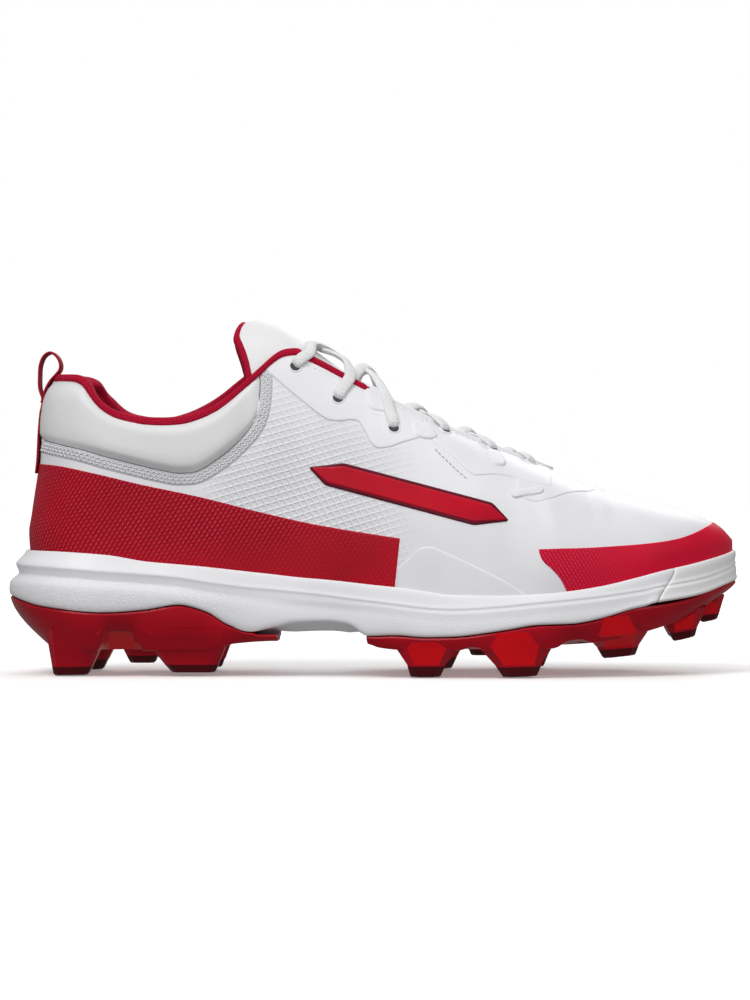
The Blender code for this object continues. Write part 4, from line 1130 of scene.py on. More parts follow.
def tongue_z(x, y):
    step = 0.05
    slope = (upper_z(x, y + step) - upper_z(x, y - step)) / (2 * step)
    inside = WALL + 1.5 + COLLAR_PAD * (1 - ease(76, 106, x))
    lid = upper_z(x, y) - inside * np.sqrt(1 + slope * slope)
    dome = crest_of(x) - (0.020 + 0.014 * ease(125, 95, x)) * (y - spine(x)) ** 2
    return lid - 1.2 * np.log(np.exp(np.clip(-(dome - lid) / 1.2, -60, 60)) + 1)


TONGUE_FRONT = 232.0


def tongue_mid(i, v):
    """Middle surface of the tongue: i from its free end to its toe end, v across from -1 to 1."""
    v = np.asarray(v, float)
    back = 94.3 - 2.2 * ease(0.0, 0.62, np.abs(v)) + 5.6 * ease(0.6, 1.0, np.abs(v))
    x = back + (TONGUE_FRONT - back) * i
    half = tongue_half(x) * (1 - 0.10 * ease(106, 94, x))
    y = spine(x) + half * v
    return x, y, half, back


def make_tongue():
    i = np.concatenate([np.linspace(0, 0.03, 7)[:-1], np.linspace(0.03, 1, 92)])[:, None]
    v = np.concatenate([-np.cos(np.linspace(0, math.pi, 9))[:5] * 0, []])
    v = np.unique(np.round(np.concatenate([np.linspace(-1, 1, 41), [-0.995, -0.98, -0.94, 0.94, 0.98, 0.995]]), 5))[None, :]
    x, y, half, back = tongue_mid(i, v)
    z = tongue_z(x, y)
    p = np.stack([x, y, z], -1)
    du, dv = np.gradient(p, axis=0), np.gradient(p, axis=1)
    n = np.cross(du, dv)
    n = n / np.linalg.norm(n, axis=-1, keepdims=True)
    n = n * np.sign(n[..., 2:3])
    far = np.minimum(np.minimum((1 - np.abs(v)) * half, x - back), TONGUE_FRONT - x)
    h = 2.3 * np.sqrt(np.clip(1 - (1 - np.clip(far / 3.2, 0, 1)) ** 2, 0, 1))
    mid = p - n * 2.3
    pillow = 0.9 * ease(0, 9, far) * ease(140, 120, x) * ease(90, 104, x)
    top = mid + n * (h + pillow)[..., None]
    bottom = mid - n * h[..., None]
    m, k = len(i), v.shape[1]
    faces = np.concatenate([grid_faces(m, k), grid_faces(m, k, flip=True, base=m * k)])
    uv = np.concatenate([np.stack([x, y], -1).reshape(-1, 2)] * 2)
    mats = np.concatenate([np.zeros((m - 1) * (k - 1), int), np.ones((m - 1) * (k - 1), int)])
    obj = new_object("tongue_pad", to_world(np.concatenate([top.reshape(-1, 3), bottom.reshape(-1, 3)])), faces, [MAT["tongue"], MAT["lining"]], uv, 4e-6, None, mats)
    if sum(f.normal.z * f.area for f in obj.data.polygons if f.material_index == 0) < 0:
        obj.data.flip_normals()
    seat(obj, "tongue", "tongue", padded=0.7)

    # red knit edge, from one side round the free end to the other
    run = []
    for vv in (-1, 1):
        ii = np.linspace(0.42, 0.0, 60) if vv < 0 else np.linspace(0.0, 0.42, 60)
        run.append(np.stack([ii, np.full(60, float(vv))], -1))
    across = np.stack([np.zeros(61), np.linspace(-1, 1, 61)], -1)
    iv = np.concatenate([run[0][:-1], across, run[1][1:]])
    x, y, half, back = tongue_mid(iv[:, 0], iv[:, 1])
    z = tongue_z(x, y)
    e = 0.02
    ci = np.clip(iv[:, 0], 0.004, 1)
    cv = np.clip(iv[:, 1], -0.985, 0.985)
    inx, iny, _, _ = tongue_mid(ci + 0.012, cv * 0.97)
    inner = np.stack([inx, iny, tongue_z(inx, iny)], -1)
    edge = np.stack([x, y, z], -1)
    gx, gy, _, _ = tongue_mid(ci, cv)
    g0 = np.stack([gx, gy, tongue_z(gx, gy)], -1)
    ga, gb, _, _ = tongue_mid(ci + e, cv)
    g1 = np.stack([ga, gb, tongue_z(ga, gb)], -1)
    ha, hb, _, _ = tongue_mid(ci, cv - 0.01)
    g2 = np.stack([ha, hb, tongue_z(ha, hb)], -1)
    n = np.cross(g1 - g0, g2 - g0)
    n = n / np.linalg.norm(n, axis=1, keepdims=True)
    n = n * np.sign(n[:, 2:3])
    tan = np.gradient(edge, axis=0)
    tan = tan / np.linalg.norm(tan, axis=1, keepdims=True)
    for _ in range(12):
        tan = np.concatenate([tan[:1], (tan[:-2] + 2 * tan[1:-1] + tan[2:]) / 4, tan[-1:]])
        n = np.concatenate([n[:1], (n[:-2] + 2 * n[1:-1] + n[2:]) / 4, n[-1:]])
    n = n - tan * np.sum(n * tan, axis=1, keepdims=True)
    n = n / np.linalg.norm(n, axis=1, keepdims=True)
    out = np.cross(n, tan)
    out = out * np.sign(np.sum(out * (edge - inner), axis=1, keepdims=True))
    c = edge - n * 2.3 - out * 0.9
    angle = np.linspace(-2.25, 2.25, 15)
    grid = np.stack([c + out * (2.0 * math.cos(b)) + n * (2.65 * math.sin(b)) for b in angle], axis=1)
    arc = np.concatenate([[0], np.cumsum(np.linalg.norm(np.diff(c, axis=0), axis=1))])
    uv = np.stack([arc[:, None] + 0 * angle[None, :], 2.4 * angle[None, :] + 0 * arc[:, None]], -1)
    obj = new_object("tongue_binding", to_world(grid.reshape(-1, 3)), grid_faces(len(grid), len(angle)), MAT["knit"], uv.reshape(-1, 2), 1e-7)
    mid_face = obj.data.polygons[len(obj.data.polygons) // 2]
    mean = Vector(to_world(c[len(c) // 2]))
    if (mid_face.center - mean).dot(mid_face.normal) < 0:
        obj.data.flip_normals()
    seat(obj, "trim")


# ------------------------------------------------------------------ lace
LACE_W, LACE_T = 4.9, 2.1


def lace_path():
    """Centre points and up vectors of the one lace: down one side's run, a bar at the toe end, back up the other."""

    def hole(i, side, depth):
        """A point over or in a hole; the lace leaves it by its upper half."""
        t, a = eyelet_at(i, side)
        per = float(np.linalg.norm(skin(t, side, a + 0.02) - skin(t, side, a))) / 0.02
        a = a + (0.95 if i < 3 else 0.3) / per
        p, n = skin(t, side, a), normal(t, side, a)
        return p + n * depth, n

    def edge(x, side, depth, inwards=0.0):
        gap = float(gap_of(x)) - inwards
        t = float(t_of_x(x))
        a = float(angle_at_y(x, side, gap))
        return raw(t, side, a) + normal(t, side, a) * depth, normal(t, side, a)

    rise = (0.0, 4.6, 1.2, 2.6, 2.2)

    def crossing(i, side, over):
        """From the hole i on one side to the hole i+1 on the other side, in at the outside of the second."""
        pts = []
        xa, xb = EYELETS[i], EYELETS[i + 1]
        other = -side
        if i == 0:
            for d in (-4.0, -1.6):
                pts.append(hole(i, side, d))
            h, n = hole(i, side, 1.1)
            e, ne = edge(xa + 0.30 * (xb - xa), side, 1.9)
            d = (e - h) / np.linalg.norm(e - h)
            pts.append((h + d * 0.6, n))
            pts.append((h + (e - h) * 0.5 + ne * 0.35, n))
            pts.append((e, ne))
        else:
            h, n = hole(i, side, -4.2)
            pts.append((h, n))
            e, ne = edge(xa + 0.26 * (xb - xa), side, -3.4, 0.5)
            pts.append(((h + e) / 2 - n * 0.2, n))
            pts.append((e, ne))
        if i == 0:
            # the top run lies loosely over the tongue and bulges forwards before it drops to the second hole
            for x, y, z in ((123.4, 9.0, 134.6), (127.6, 0.0, 133.4), (133.2, -8.0, 131.0), (138.2, -14.6, 127.2)):
                up = np.array([0.35, -0.02 * side * y, 1.0])
                pts.append((np.array([x, float(spine(x)) + side * y, z + (over if y == 0.0 else 0.5 * over)]), up / np.linalg.norm(up)))
            h, n = hole(1, other, 1.0)
            for x, f in ((139.4, 0.10), (138.0, 0.45), (136.2, 0.75)):
                e, ne = edge(x, other, 2.0)
                q = e + (h - e) * f + n * 0.5 * (1 - f)
                q[0] = x
                pts.append((q, ne * (1 - f) + n * f))
            pts.append((h, n))
            pts.append(hole(1, other, -1.6))
            return pts
        for f in (0.36, 0.5, 0.64):
            x = xa + (xb - xa) * f
            y = float(spine(x)) + side * (0.5 - f) * 2 * (float(gap_of(x)) + 3)
            z = float(tongue_z(x, y)) + LACE_T / 2 + 0.5 + rise[i] * (1 if f > 0.45 else 0.45) + (over if f == 0.5 else 0.4 * over)
            s = (float(crest_of(x + 1)) - float(crest_of(x - 1))) / 2
            pts.append((np.array([x, y, z]), np.array([-s, 0.3 * (y - float(spine(x))) / 10, 1.0]) / np.linalg.norm([-s, 0.3 * (y - float(spine(x))) / 10, 1.0])))
        e, ne = edge(xa + 0.80 * (xb - xa), other, 1.7)
        h, n = hole(i + 1, other, 1.0)
        d = (h - e) / np.linalg.norm(h - e)
        pts.append((e, ne))
        if i < 2:
            pts.append((e + (h - e) * 0.55 + n * 0.35, n))
            pts.append((h - d * 0.7, n))
        else:
            pts.append((h - d * 0.4, n))
        pts.append(hole(i + 1, other, -1.6))
        return pts

    runs = []
    for first in (-1, 1):
        side, pts = first, []
        for i in range(5):
            over = LACE_T * 0.55 * (1 if (i + (first > 0)) % 2 == 0 else -0.4)
            part = crossing(i, side, over)
            pts += part if not pts else part
            side = -side
        runs.append(pts)
    # bar under the front of the throat joins the two runs; both end at the front holes
    a_end, b_end = runs[0][-1], runs[1][-1]
    bar = []
    cell_shade_ramp = 1 if runs[0][-1][0][1] > spine(EYELETS[5]) else -1
    for f in (-0.86, -0.4, 0.0, 0.4, 0.86):
        x = EYELETS[5] + 1.2
        gap = float(gap_of(x))
        y = float(spine(x)) - f * cell_shade_ramp * (gap + 2)
        z = float(tongue_z(x, y)) + LACE_T / 2 - 0.1
        bar.append((np.array([x, y, z]), np.array([0.4, 0.0, 0.9])))
    return runs[0] + bar + runs[1][::-1]


def spline(points, ups, step):
    """Centripetal Catmull-Rom through the points, evenly resampled."""
    p = np.vstack([2 * points[0] - points[1], points, 2 * points[-1] - points[-2]])
    u = np.vstack([ups[0], ups, ups[-1]])
    out, upo = [], []
    for i in range(1, len(p) - 2):
        p0, p1, p2, p3 = p[i - 1 : i + 3]
        t0 = 0.0
        t1 = t0 + max(np.linalg.norm(p1 - p0), 1e-3) ** 0.5
        t2 = t1 + max(np.linalg.norm(p2 - p1), 1e-3) ** 0.5
        t3 = t2 + max(np.linalg.norm(p3 - p2), 1e-3) ** 0.5
        for t in np.linspace(t1, t2, 14, endpoint=False):
            a1 = (t1 - t) / (t1 - t0) * p0 + (t - t0) / (t1 - t0) * p1
            a2 = (t2 - t) / (t2 - t1) * p1 + (t - t1) / (t2 - t1) * p2
            a3 = (t3 - t) / (t3 - t2) * p2 + (t - t2) / (t3 - t2) * p3
            b1 = (t2 - t) / (t2 - t0) * a1 + (t - t0) / (t2 - t0) * a2
            b2 = (t3 - t) / (t3 - t1) * a2 + (t - t1) / (t3 - t1) * a3
            out.append((t2 - t) / (t2 - t1) * b1 + (t - t1) / (t2 - t1) * b2)
            w = (t - t1) / (t2 - t1)
            upo.append(u[i] * (1 - w) + u[i + 1] * w)
    out.append(p[-2])
    upo.append(u[-2])
    out, upo = np.array(out), np.array(upo)
    run = np.concatenate([[0], np.cumsum(np.linalg.norm(np.diff(out, axis=0), axis=1))])
    s = np.linspace(0, run[-1], max(int(run[-1] / step), 4))
    return np.stack([np.interp(s, run, out[:, k]) for k in range(3)], -1), np.stack([np.interp(s, run, upo[:, k]) for k in range(3)], -1), s


def ribbon(name, points, ups, wide, thick, mat, step=1.1, sides=16, power=2.6, slot="laces", ends=True, taper=0.0, nodes=()):
    """A soft band with an oval section along a path."""
    p, up, s = spline(np.array(points, float), np.array(ups, float), step)
    tan = np.gradient(p, axis=0)
    tan = tan / np.linalg.norm(tan, axis=1, keepdims=True)
    b = np.cross(up, tan)
    for k in range(1, len(b)):
        if b[k] @ b[k - 1] < 0:
            b[k] = -b[k]
    b = b / np.maximum(np.linalg.norm(b, axis=1, keepdims=True), 1e-9)
    for _ in range(3):
        b = np.concatenate([b[:1], (b[:-2] + 2 * b[1:-1] + b[2:]) / 4, b[-1:]])
    b = b - tan * np.sum(b * tan, axis=1, keepdims=True)
    b = b / np.maximum(np.linalg.norm(b, axis=1, keepdims=True), 1e-9)
    n = np.cross(tan, b)
    ang = np.linspace(0, math.tau, sides, endpoint=False)
    cs, sn = np.cos(ang), np.sin(ang)
    cx = np.sign(cs) * np.abs(cs) ** (2 / power) * wide / 2
    cy = np.sign(sn) * np.abs(sn) ** (2 / 2.1) * thick / 2
    grid = p[:, None, :] + b[:, None, :] * cx[None, :, None] + n[:, None, :] * cy[None, :, None]
    around = np.concatenate([[0], np.cumsum(np.hypot(np.diff(cx), np.diff(cy)))])
    uv = np.stack([s[:, None] + 0 * around[None, :], around[None, :] + 0 * s[:, None]], -1)
    f = [tuple(q) for q in grid_faces(len(p), sides, wrap=True)]
    if ends:
        f += [tuple(range(sides))[::-1], tuple((len(p) - 1) * sides + k for k in range(sides))]
    obj = new_object(name, to_world(grid.reshape(-1, 3)), f, MAT[mat], uv.reshape(-1, 2), 0)
    bm = bmesh.new()
    bm.from_mesh(obj.data)
    bmesh.ops.recalc_face_normals(bm, faces=bm.faces)
    bm.to_mesh(obj.data)
    bm.free()
    seat(obj, slot, *nodes)
    return obj, float(s[-1])


def make_eyelets():
    """Punched rims of the lace holes, with a painted shadow inside each hole: dark inner walls and a dark disc."""
    verts, faces, uvs, mats = [], [], [], []
    base = 0
    profile = ((HOLE + 0.8, 0.40), (HOLE + 0.5, 0.78), (HOLE + 0.15, 0.88), (HOLE - 0.04, 0.66), (HOLE - 0.12, -0.3), (HOLE - 0.12, -2.2))
    for side in (-1, 1):
        for i in range(len(EYELETS)):
            t, a = eyelet_at(i, side)
            c, n = skin(t, side, a), normal(t, side, a)
            u = np.cross(n, [0, 1, 0])
            u = u / np.linalg.norm(u)
            w = np.cross(n, u)
            seg = 28
            ang = np.linspace(0, math.tau, seg, endpoint=False)
            rings = []
            for r, h in profile:
                rings.append(c + u * (np.cos(ang) * r)[:, None] + w * (np.sin(ang) * r)[:, None] + n * h)
            g = np.array(rings)
            verts.append(g.reshape(-1, 3))
            f = grid_faces(len(profile), seg, wrap=True) + base
            faces.append(f)
            # the inner wall of each hole takes the dark material: painted shade
            mats.append(np.repeat([0, 0, 0, 1, 1], seg))
            uvs.append(np.stack([np.tile(ang * 2, (len(profile), 1)), np.array([[q[0]] * seg for q in profile])], -1).reshape(-1, 2))
            base += len(profile) * seg
    # a dark disc in each hole, a painted shadow, seen below the lace in the first three holes
    for side in (-1, 1):
        for i in range(len(EYELETS)):
            t, a = eyelet_at(i, side)
            c, n = skin(t, side, a), normal(t, side, a)
            u = np.cross(n, [0, 1, 0])
            u = u / np.linalg.norm(u)
            w = np.cross(n, u)
            ang = np.linspace(0, math.tau, 28, endpoint=False)
            rings = [c + u * (np.cos(ang) * r)[:, None] + w * (np.sin(ang) * r)[:, None] + n * h for r, h in ((HOLE - 0.06, 0.70), (HOLE - 0.9, 0.66), (0.2, 0.65))]
            verts.append(np.array(rings).reshape(-1, 3))
            faces.append(grid_faces(3, 28, wrap=True) + base)
            mats.append(np.repeat([1, 1], 28))
            uvs.append(np.zeros((84, 2)))
            base += 84
    obj = new_object("eyelet_rims", to_world(np.concatenate(verts)), np.concatenate(faces), [MAT["edge"], MAT["dark"]], np.concatenate(uvs), 0, None, np.concatenate(mats))
    face = obj.data.polygons[28]
    t, a = eyelet_at(0, -1)
    if face.normal.dot(Vector(normal(t, -1, a))) < 0:
        obj.data.flip_normals()
    seat(obj, "trim")


# ------------------------------------------------------------------ midsole and toe bumper
_belt_x = HEEL_X + SPAN * (1 - np.cos(np.pi * np.linspace(0, 1, 4001))) / 2


def plan_edge(x, side, out):
    x = np.asarray(x, float)
    step = 0.02
    lo, hi = np.maximum(x - step, HEEL_X), np.minimum(x + step, TOE_X)
    ya = spine(lo) + side * half_width(lo, side)
    yb = spine(hi) + side * half_width(hi, side)
    tx, ty = hi - lo, yb - ya
    size = np.maximum(np.hypot(tx, ty), 1e-9)
    nx, ny = -side * ty / size, side * tx / size
    nx = np.where(x - HEEL_X < 1e-4, -1.0, np.where(TOE_X - x < 1e-4, 1.0, nx))
    ny = np.where((x - HEEL_X < 1e-4) | (TOE_X - x < 1e-4), 0.0, ny)
    return x + nx * out, spine(x) + side * half_width(x, side) + ny * out


def soften(points, fixed, times):
    """Corner cutting along the second axis, keeping the ends; the corners given in fixed are not used."""
    p = points
    for _ in range(times):
        q = 0.75 * p[:, :-1] + 0.25 * p[:, 1:]
        r = 0.25 * p[:, :-1] + 0.75 * p[:, 1:]
        inner = np.stack([q, r], axis=2).reshape(p.shape[0], -1, p.shape[2])
        p = np.concatenate([p[:, :1], inner[:, 1:-1] if inner.shape[1] > 2 else inner, p[:, -1:]], axis=1)
        p = np.concatenate([p[:, :1], inner, p[:, -1:]], axis=1)
    return p


def sole_profile(t, side):
    x = x_of_t(t)
    under, ledge, rim, bed = under_of(x), ledge_of(x), rim_of(x), bed_of(x)
    bulge, groove, shelf = BULGE_OUT(x), GROOVE_OUT(x), LEDGE_OUT(x)
    groove_z = ledge - 3.4 + 1.2 * ease(110, 150, x)
    bulge_z = np.maximum(groove_z - 4.0, under + 2.0)
    arch = ease(102, 118, x) * ease(146.5, 137, x)
    low = np.maximum(under + 1.4, (under + bulge_z) / 2 - 1)
    crisp = 0.35
    levels = [
        (-9.0 + 0 * x, under + GAP - 4.0 * arch),
        (bulge - 2.4, under + GAP - 0.6 * arch),
        (bulge - 0.7, under + GAP + 0.1),
        (bulge + 0.05, low),
        (bulge - 0.1, bulge_z),
        (bulge - 0.3 - 0.25 * (bulge - groove), bulge_z + 0.45 * (groove_z - bulge_z)),
        (groove, groove_z - 0.4),
        (groove + 0.05, groove_z + 0.5),
        (shelf - 0.35, ledge - 0.55),
        (shelf + 0.02, ledge + 0.25),
        (shelf - 0.45, ledge + 1.3),
        (1.9 + 0.25 * (shelf - 1.9), ledge + 0.62 * (rim - ledge)),
        (1.75 + 0 * x, rim - 0.55),
        (1.35 + 0 * x, rim + 0.0),
        (0.7 + 0 * x, rim - 0.05),
        (0.3 + 0 * x, rim - 0.8),
        (0.3 + 0 * x, bed),
    ]
    pts = []
    for d, z in levels:
        px, py = plan_edge(x, side, d)
        pts.append(np.stack([px, py, z + 0 * px], -1))
    return soften(np.stack(pts, axis=1), (), 1)


def seam_shift(z):
    return -8.0 * ease(44.0, 28.5, z)


def make_sole_part(name, x0, x1, mat, node, slot):
    pieces = []
    verts, faces, uvs, peb = [], [], [], []
    base = 0
    sides = []
    for side in (-1, 1):
        t = columns(-1, x0, x1, 1.7)
        ends = []
        s = np.interp(t, _T, ARC[-1])
        more = []
        if x0 > HEEL_X + 1:
            more += [s[0] + e for e in (0.15, 0.4)]
        if x1 < TOE_X - 1:
            more += [s[-1] - e for e in (0.15, 0.4)]
        t = np.unique(np.concatenate([t, t_of_arc(np.array(more), -1) if more else []]))
        p = sole_profile(t, side)
        x = x_of_t(t)[:, None]
        shift = seam_shift(p[..., 2]) * (ease(255, 270, x) * ease(285, 270, x))
        # the two pieces keep their gap along a seam that leans
        y_keep = p[..., 1].copy()
        pn = sole_profile(t_of_x(np.clip(x[:, 0] + 0.01, HEEL_X, TOE_X)), side)
        p[..., 0] += shift
        p[..., 1] += shift * (pn[..., 1] - y_keep) / 0.01 * (x < 285) * (x > 250)
        gap = np.zeros(len(t))
        if x1 < TOE_X - 1:
            d = x1 - x[:, 0]
            gap = np.clip(1 - d / 0.9, 0, 1) ** 2
        if x0 > HEEL_X + 1:
            d = x[:, 0] - x0
            gap = np.clip(1 - d / 0.9, 0, 1) ** 2
        c = np.stack([x[:, 0], spine(x[:, 0]), 36 + 0 * x[:, 0]], -1)[:, None, :]
        out = p - c
        out[..., 0] = 0
        out = out / np.maximum(np.linalg.norm(out, axis=-1, keepdims=True), 1e-6)
        p = p - out * (0.45 * gap)[:, None, None]
        around = np.concatenate([np.zeros((len(t), 1)), np.cumsum(np.linalg.norm(np.diff(p, axis=1), axis=-1), axis=1)], axis=1)
        arc = np.interp(t, _T, ARC[side])[:, None] + 0 * around
        low = ease(0.6, -0.6, p[..., 2] - (ledge_of(x) - 3.0)) * ease(under_of(x) - 1, under_of(x) + 1.5, p[..., 2])
        low = low * (1.0 - ease(84.0, 106.0, x) + 0.55 * ease(142.0, 160.0, x))
        m, k = p.shape[:2]
        verts.append(p.reshape(-1, 3))
        uvs.append(np.stack([arc, around], -1).reshape(-1, 2))
        peb.append(low.reshape(-1))
        faces.append(grid_faces(m, k, flip=side > 0) + base)
        sides.append((base, m, k))
        base += m * k
    # underside and cup floor join the two halves
    (b0, m, k), (b1, _, _) = sides
    i = np.arange(m - 1)
    for row, flip in ((0, True), (k - 1, False)):
        q = np.stack([b0 + i * k + row, b0 + (i + 1) * k + row, b1 + (i + 1) * k + row, b1 + i * k + row], -1)
        faces.append(q[:, ::-1] if flip else q)
    verts_w = to_world(np.concatenate(verts))
    flat = [tuple(f) for f in np.concatenate(faces)]
    for end in ((0,) if x0 > HEEL_X + 1 else ()) + ((m - 1,) if x1 < TOE_X - 1 else ()):
        loop = [b0 + end * k + r for r in range(k)] + [b1 + end * k + r for r in range(k)][::-1]
        flat.append(tuple(loop))
    obj = new_object(name, verts_w, flat, MAT[mat], np.concatenate(uvs), 4e-6, dict(pebble=np.concatenate(peb)), None, True, 50)
    bm = bmesh.new()
    bm.from_mesh(obj.data)
    bmesh.ops.dissolve_degenerate(bm, edges=bm.edges, dist=1e-6)
    bmesh.ops.recalc_face_normals(bm, faces=bm.faces)
    bm.to_mesh(obj.data)
    bm.free()
    seat(obj, slot, node)
    return obj


# ------------------------------------------------------------------ outsole plates and studs
TREAD = dict(
    x=(-5, 8, 20, 85, 92, 111, 146, 151, 160, 212, 225, 240, 255, 270, 284, 292, 300),
    z=(13.0, 11.5, 10.2, 10.4, 13.0, 14.2, 13.4, 11.8, 11.0, 11.0, 12.2, 14.0, 16.8, 20.4, 25.2, 29.8, 33.0),
)
tread_z = curve(TREAD, "z")
STUDS = (
    # plate, tip x0, x1, z and its rise to the front; middle x0, x1, z; root x0, x1, z; y; half widths; dark height; corners
    ("heel", 18.9, 33.1, 0.0, 0.2, 18.3, 34.9, 4.2, 16.2, 41.0, 17.0, -21.5, (6.2, 6.9, 9.6), 3.4, 1.6),
    ("heel", 21.5, 36.0, 0.0, 0.2, 20.6, 37.9, 4.2, 17.0, 44.0, 17.0, 21.5, (6.2, 6.9, 9.6), 4.6, 1.6),
    ("heel", 48.5, 59.0, 4.0, 0.0, 47.2, 60.0, 7.2, 45.0, 62.0, 11.6, 0.0, (7.0, 7.8, 10.0), 3.0, 1.8),
    ("heel", 66.8, 84.8, 1.2, 0.0, 64.2, 86.0, 4.6, 54.4, 91.0, 17.0, -23.5, (5.7, 6.4, 9.2), 3.2, 1.6),
    ("heel", 68.5, 85.6, 1.2, 0.0, 66.0, 86.8, 4.6, 57.0, 91.2, 17.0, 20.5, (5.7, 6.4, 9.2), 4.2, 1.6),
    ("fore", 163.6, 176.0, 0.0, 0.0, 162.4, 178.0, 5.0, 157.8, 182.8, 11.8, -36.6, (5.6, 6.6, 8.6), 4.3, 2.6),
    ("fore", 200.6, 214.8, 0.0, 0.5, 197.8, 216.4, 4.8, 191.0, 220.2, 12.2, -38.6, (6.0, 7.0, 9.0), 4.0, 2.8),
    ("fore", 241.8, 255.2, 7.0, 1.3, 239.8, 256.4, 11.2, 235.0, 259.8, 16.2, -26.0, (5.6, 6.6, 8.4), 3.4, 2.6),
    ("fore", 168.0, 182.0, 0.0, 0.0, 166.6, 184.0, 5.0, 162.4, 187.6, 11.8, 31.0, (5.6, 6.6, 8.8), 4.6, 2.6),
    ("fore", 206.0, 221.0, 0.0, 0.5, 204.4, 222.6, 4.8, 199.6, 226.6, 12.2, 38.0, (6.0, 7.0, 9.0), 4.4, 2.8),
    ("fore", 245.0, 258.5, 7.4, 1.3, 243.4, 259.8, 11.6, 239.6, 263.4, 16.8, 30.0, (5.6, 6.6, 8.2), 3.8, 2.6),
    ("fore", 271.4, 280.4, 13.4, 1.8, 269.6, 281.2, 17.4, 266.4, 284.2, 23.0, -13.0, (5.0, 6.0, 7.4), 3.2, 2.2),
    ("fore", 272.4, 282.0, 13.8, 1.8, 270.6, 283.0, 17.8, 267.4, 285.6, 23.4, 20.0, (5.0, 6.0, 7.4), 3.4, 2.2),
    ("fore", 189.0, 197.0, 7.0, 0.0, 188.0, 198.0, 9.4, 186.0, 200.0, 12.0, 1.0, (6.0, 6.8, 8.6), 3.0, 1.6),
    ("fore", 226.0, 240.0, 11.2, 0.8, 225.2, 240.8, 13.0, 223.6, 242.4, 14.6, 4.0, (6.0, 6.6, 8.0), 1.6, 1.6),
    ("fore", 284.6, 291.2, 20.4, 1.2, 283.4, 292.0, 23.6, 281.4, 293.4, 28.2, 6.0, (6.0, 6.8, 8.6), 2.6, 1.6),
)


def stud_ring(x0, x1, y, half, z, rise, cut):
    """A box outline with its four corners cut, on a plane that climbs to the front."""
    cut = min(cut, 0.42 * (x1 - x0), 0.62 * half)
    pts = ((x0 + cut, -half), (x1 - cut, -half), (x1, cut - half), (x1, half - cut), (x1 - cut, half), (x0 + cut, half), (x0, half - cut), (x0, cut - half))
    return [(px, y + py, z + rise * (px - x0) / (x1 - x0)) for px, py in pts]


def plate_rows(t, side, plate):
    x = x_of_t(t)
    top, low = under_of(x), tread_z(x)
    if plate == "heel":
        top = np.where(x > 100, np.minimum(top, under_of(100.0) + (16.9 - under_of(100.0)) * ease(100, 101, x)), top)
        edge_low = low + 7.6 * ease(37.5, 42, x) * ease(55.5, 51, x) + 0.4 * ease(30, 8, x)
    else:
        edge_low = low + 2.2 * ease(222, 227, x) * ease(238, 232, x) + 1.2 * ease(184, 187, x) * ease(194, 190, x)
    bulge, rake = BULGE_OUT(x), RAKE(x)
    lip = 0.45 * ease(238, 256, x)
    rows = [(-9.0 + 0 * x, top - 0.25), (bulge - 1.7, top - 0.12 + lip), (bulge - 0.85, top - 0.2 + lip), (bulge - 0.55, top - 0.75 + 0.5 * lip)]
    for q in (0.12, 0.25, 0.4, 0.55, 0.7, 0.85, 0.95):
        rows.append((bulge - 0.5 - (rake - 0.4) * q**1.6, top - 0.1 + (edge_low - top) * q))
    rows.append((bulge - rake - 0.2, edge_low + 0.15))
    rows.append((bulge - rake - 0.9, edge_low - 0.05))
    rows.append((bulge - rake - 3.5, edge_low - 0.1))
    rows.append((bulge - rake - 9.0, (edge_low + low) / 2))
    rows.append((bulge - rake - 14.0, low))
    pts = []
    for d, z in rows:
        px, py = plan_edge(x, side, d)
        pts.append(np.stack([px, py, z + 0 * px], -1))
    return np.stack(pts, axis=1)


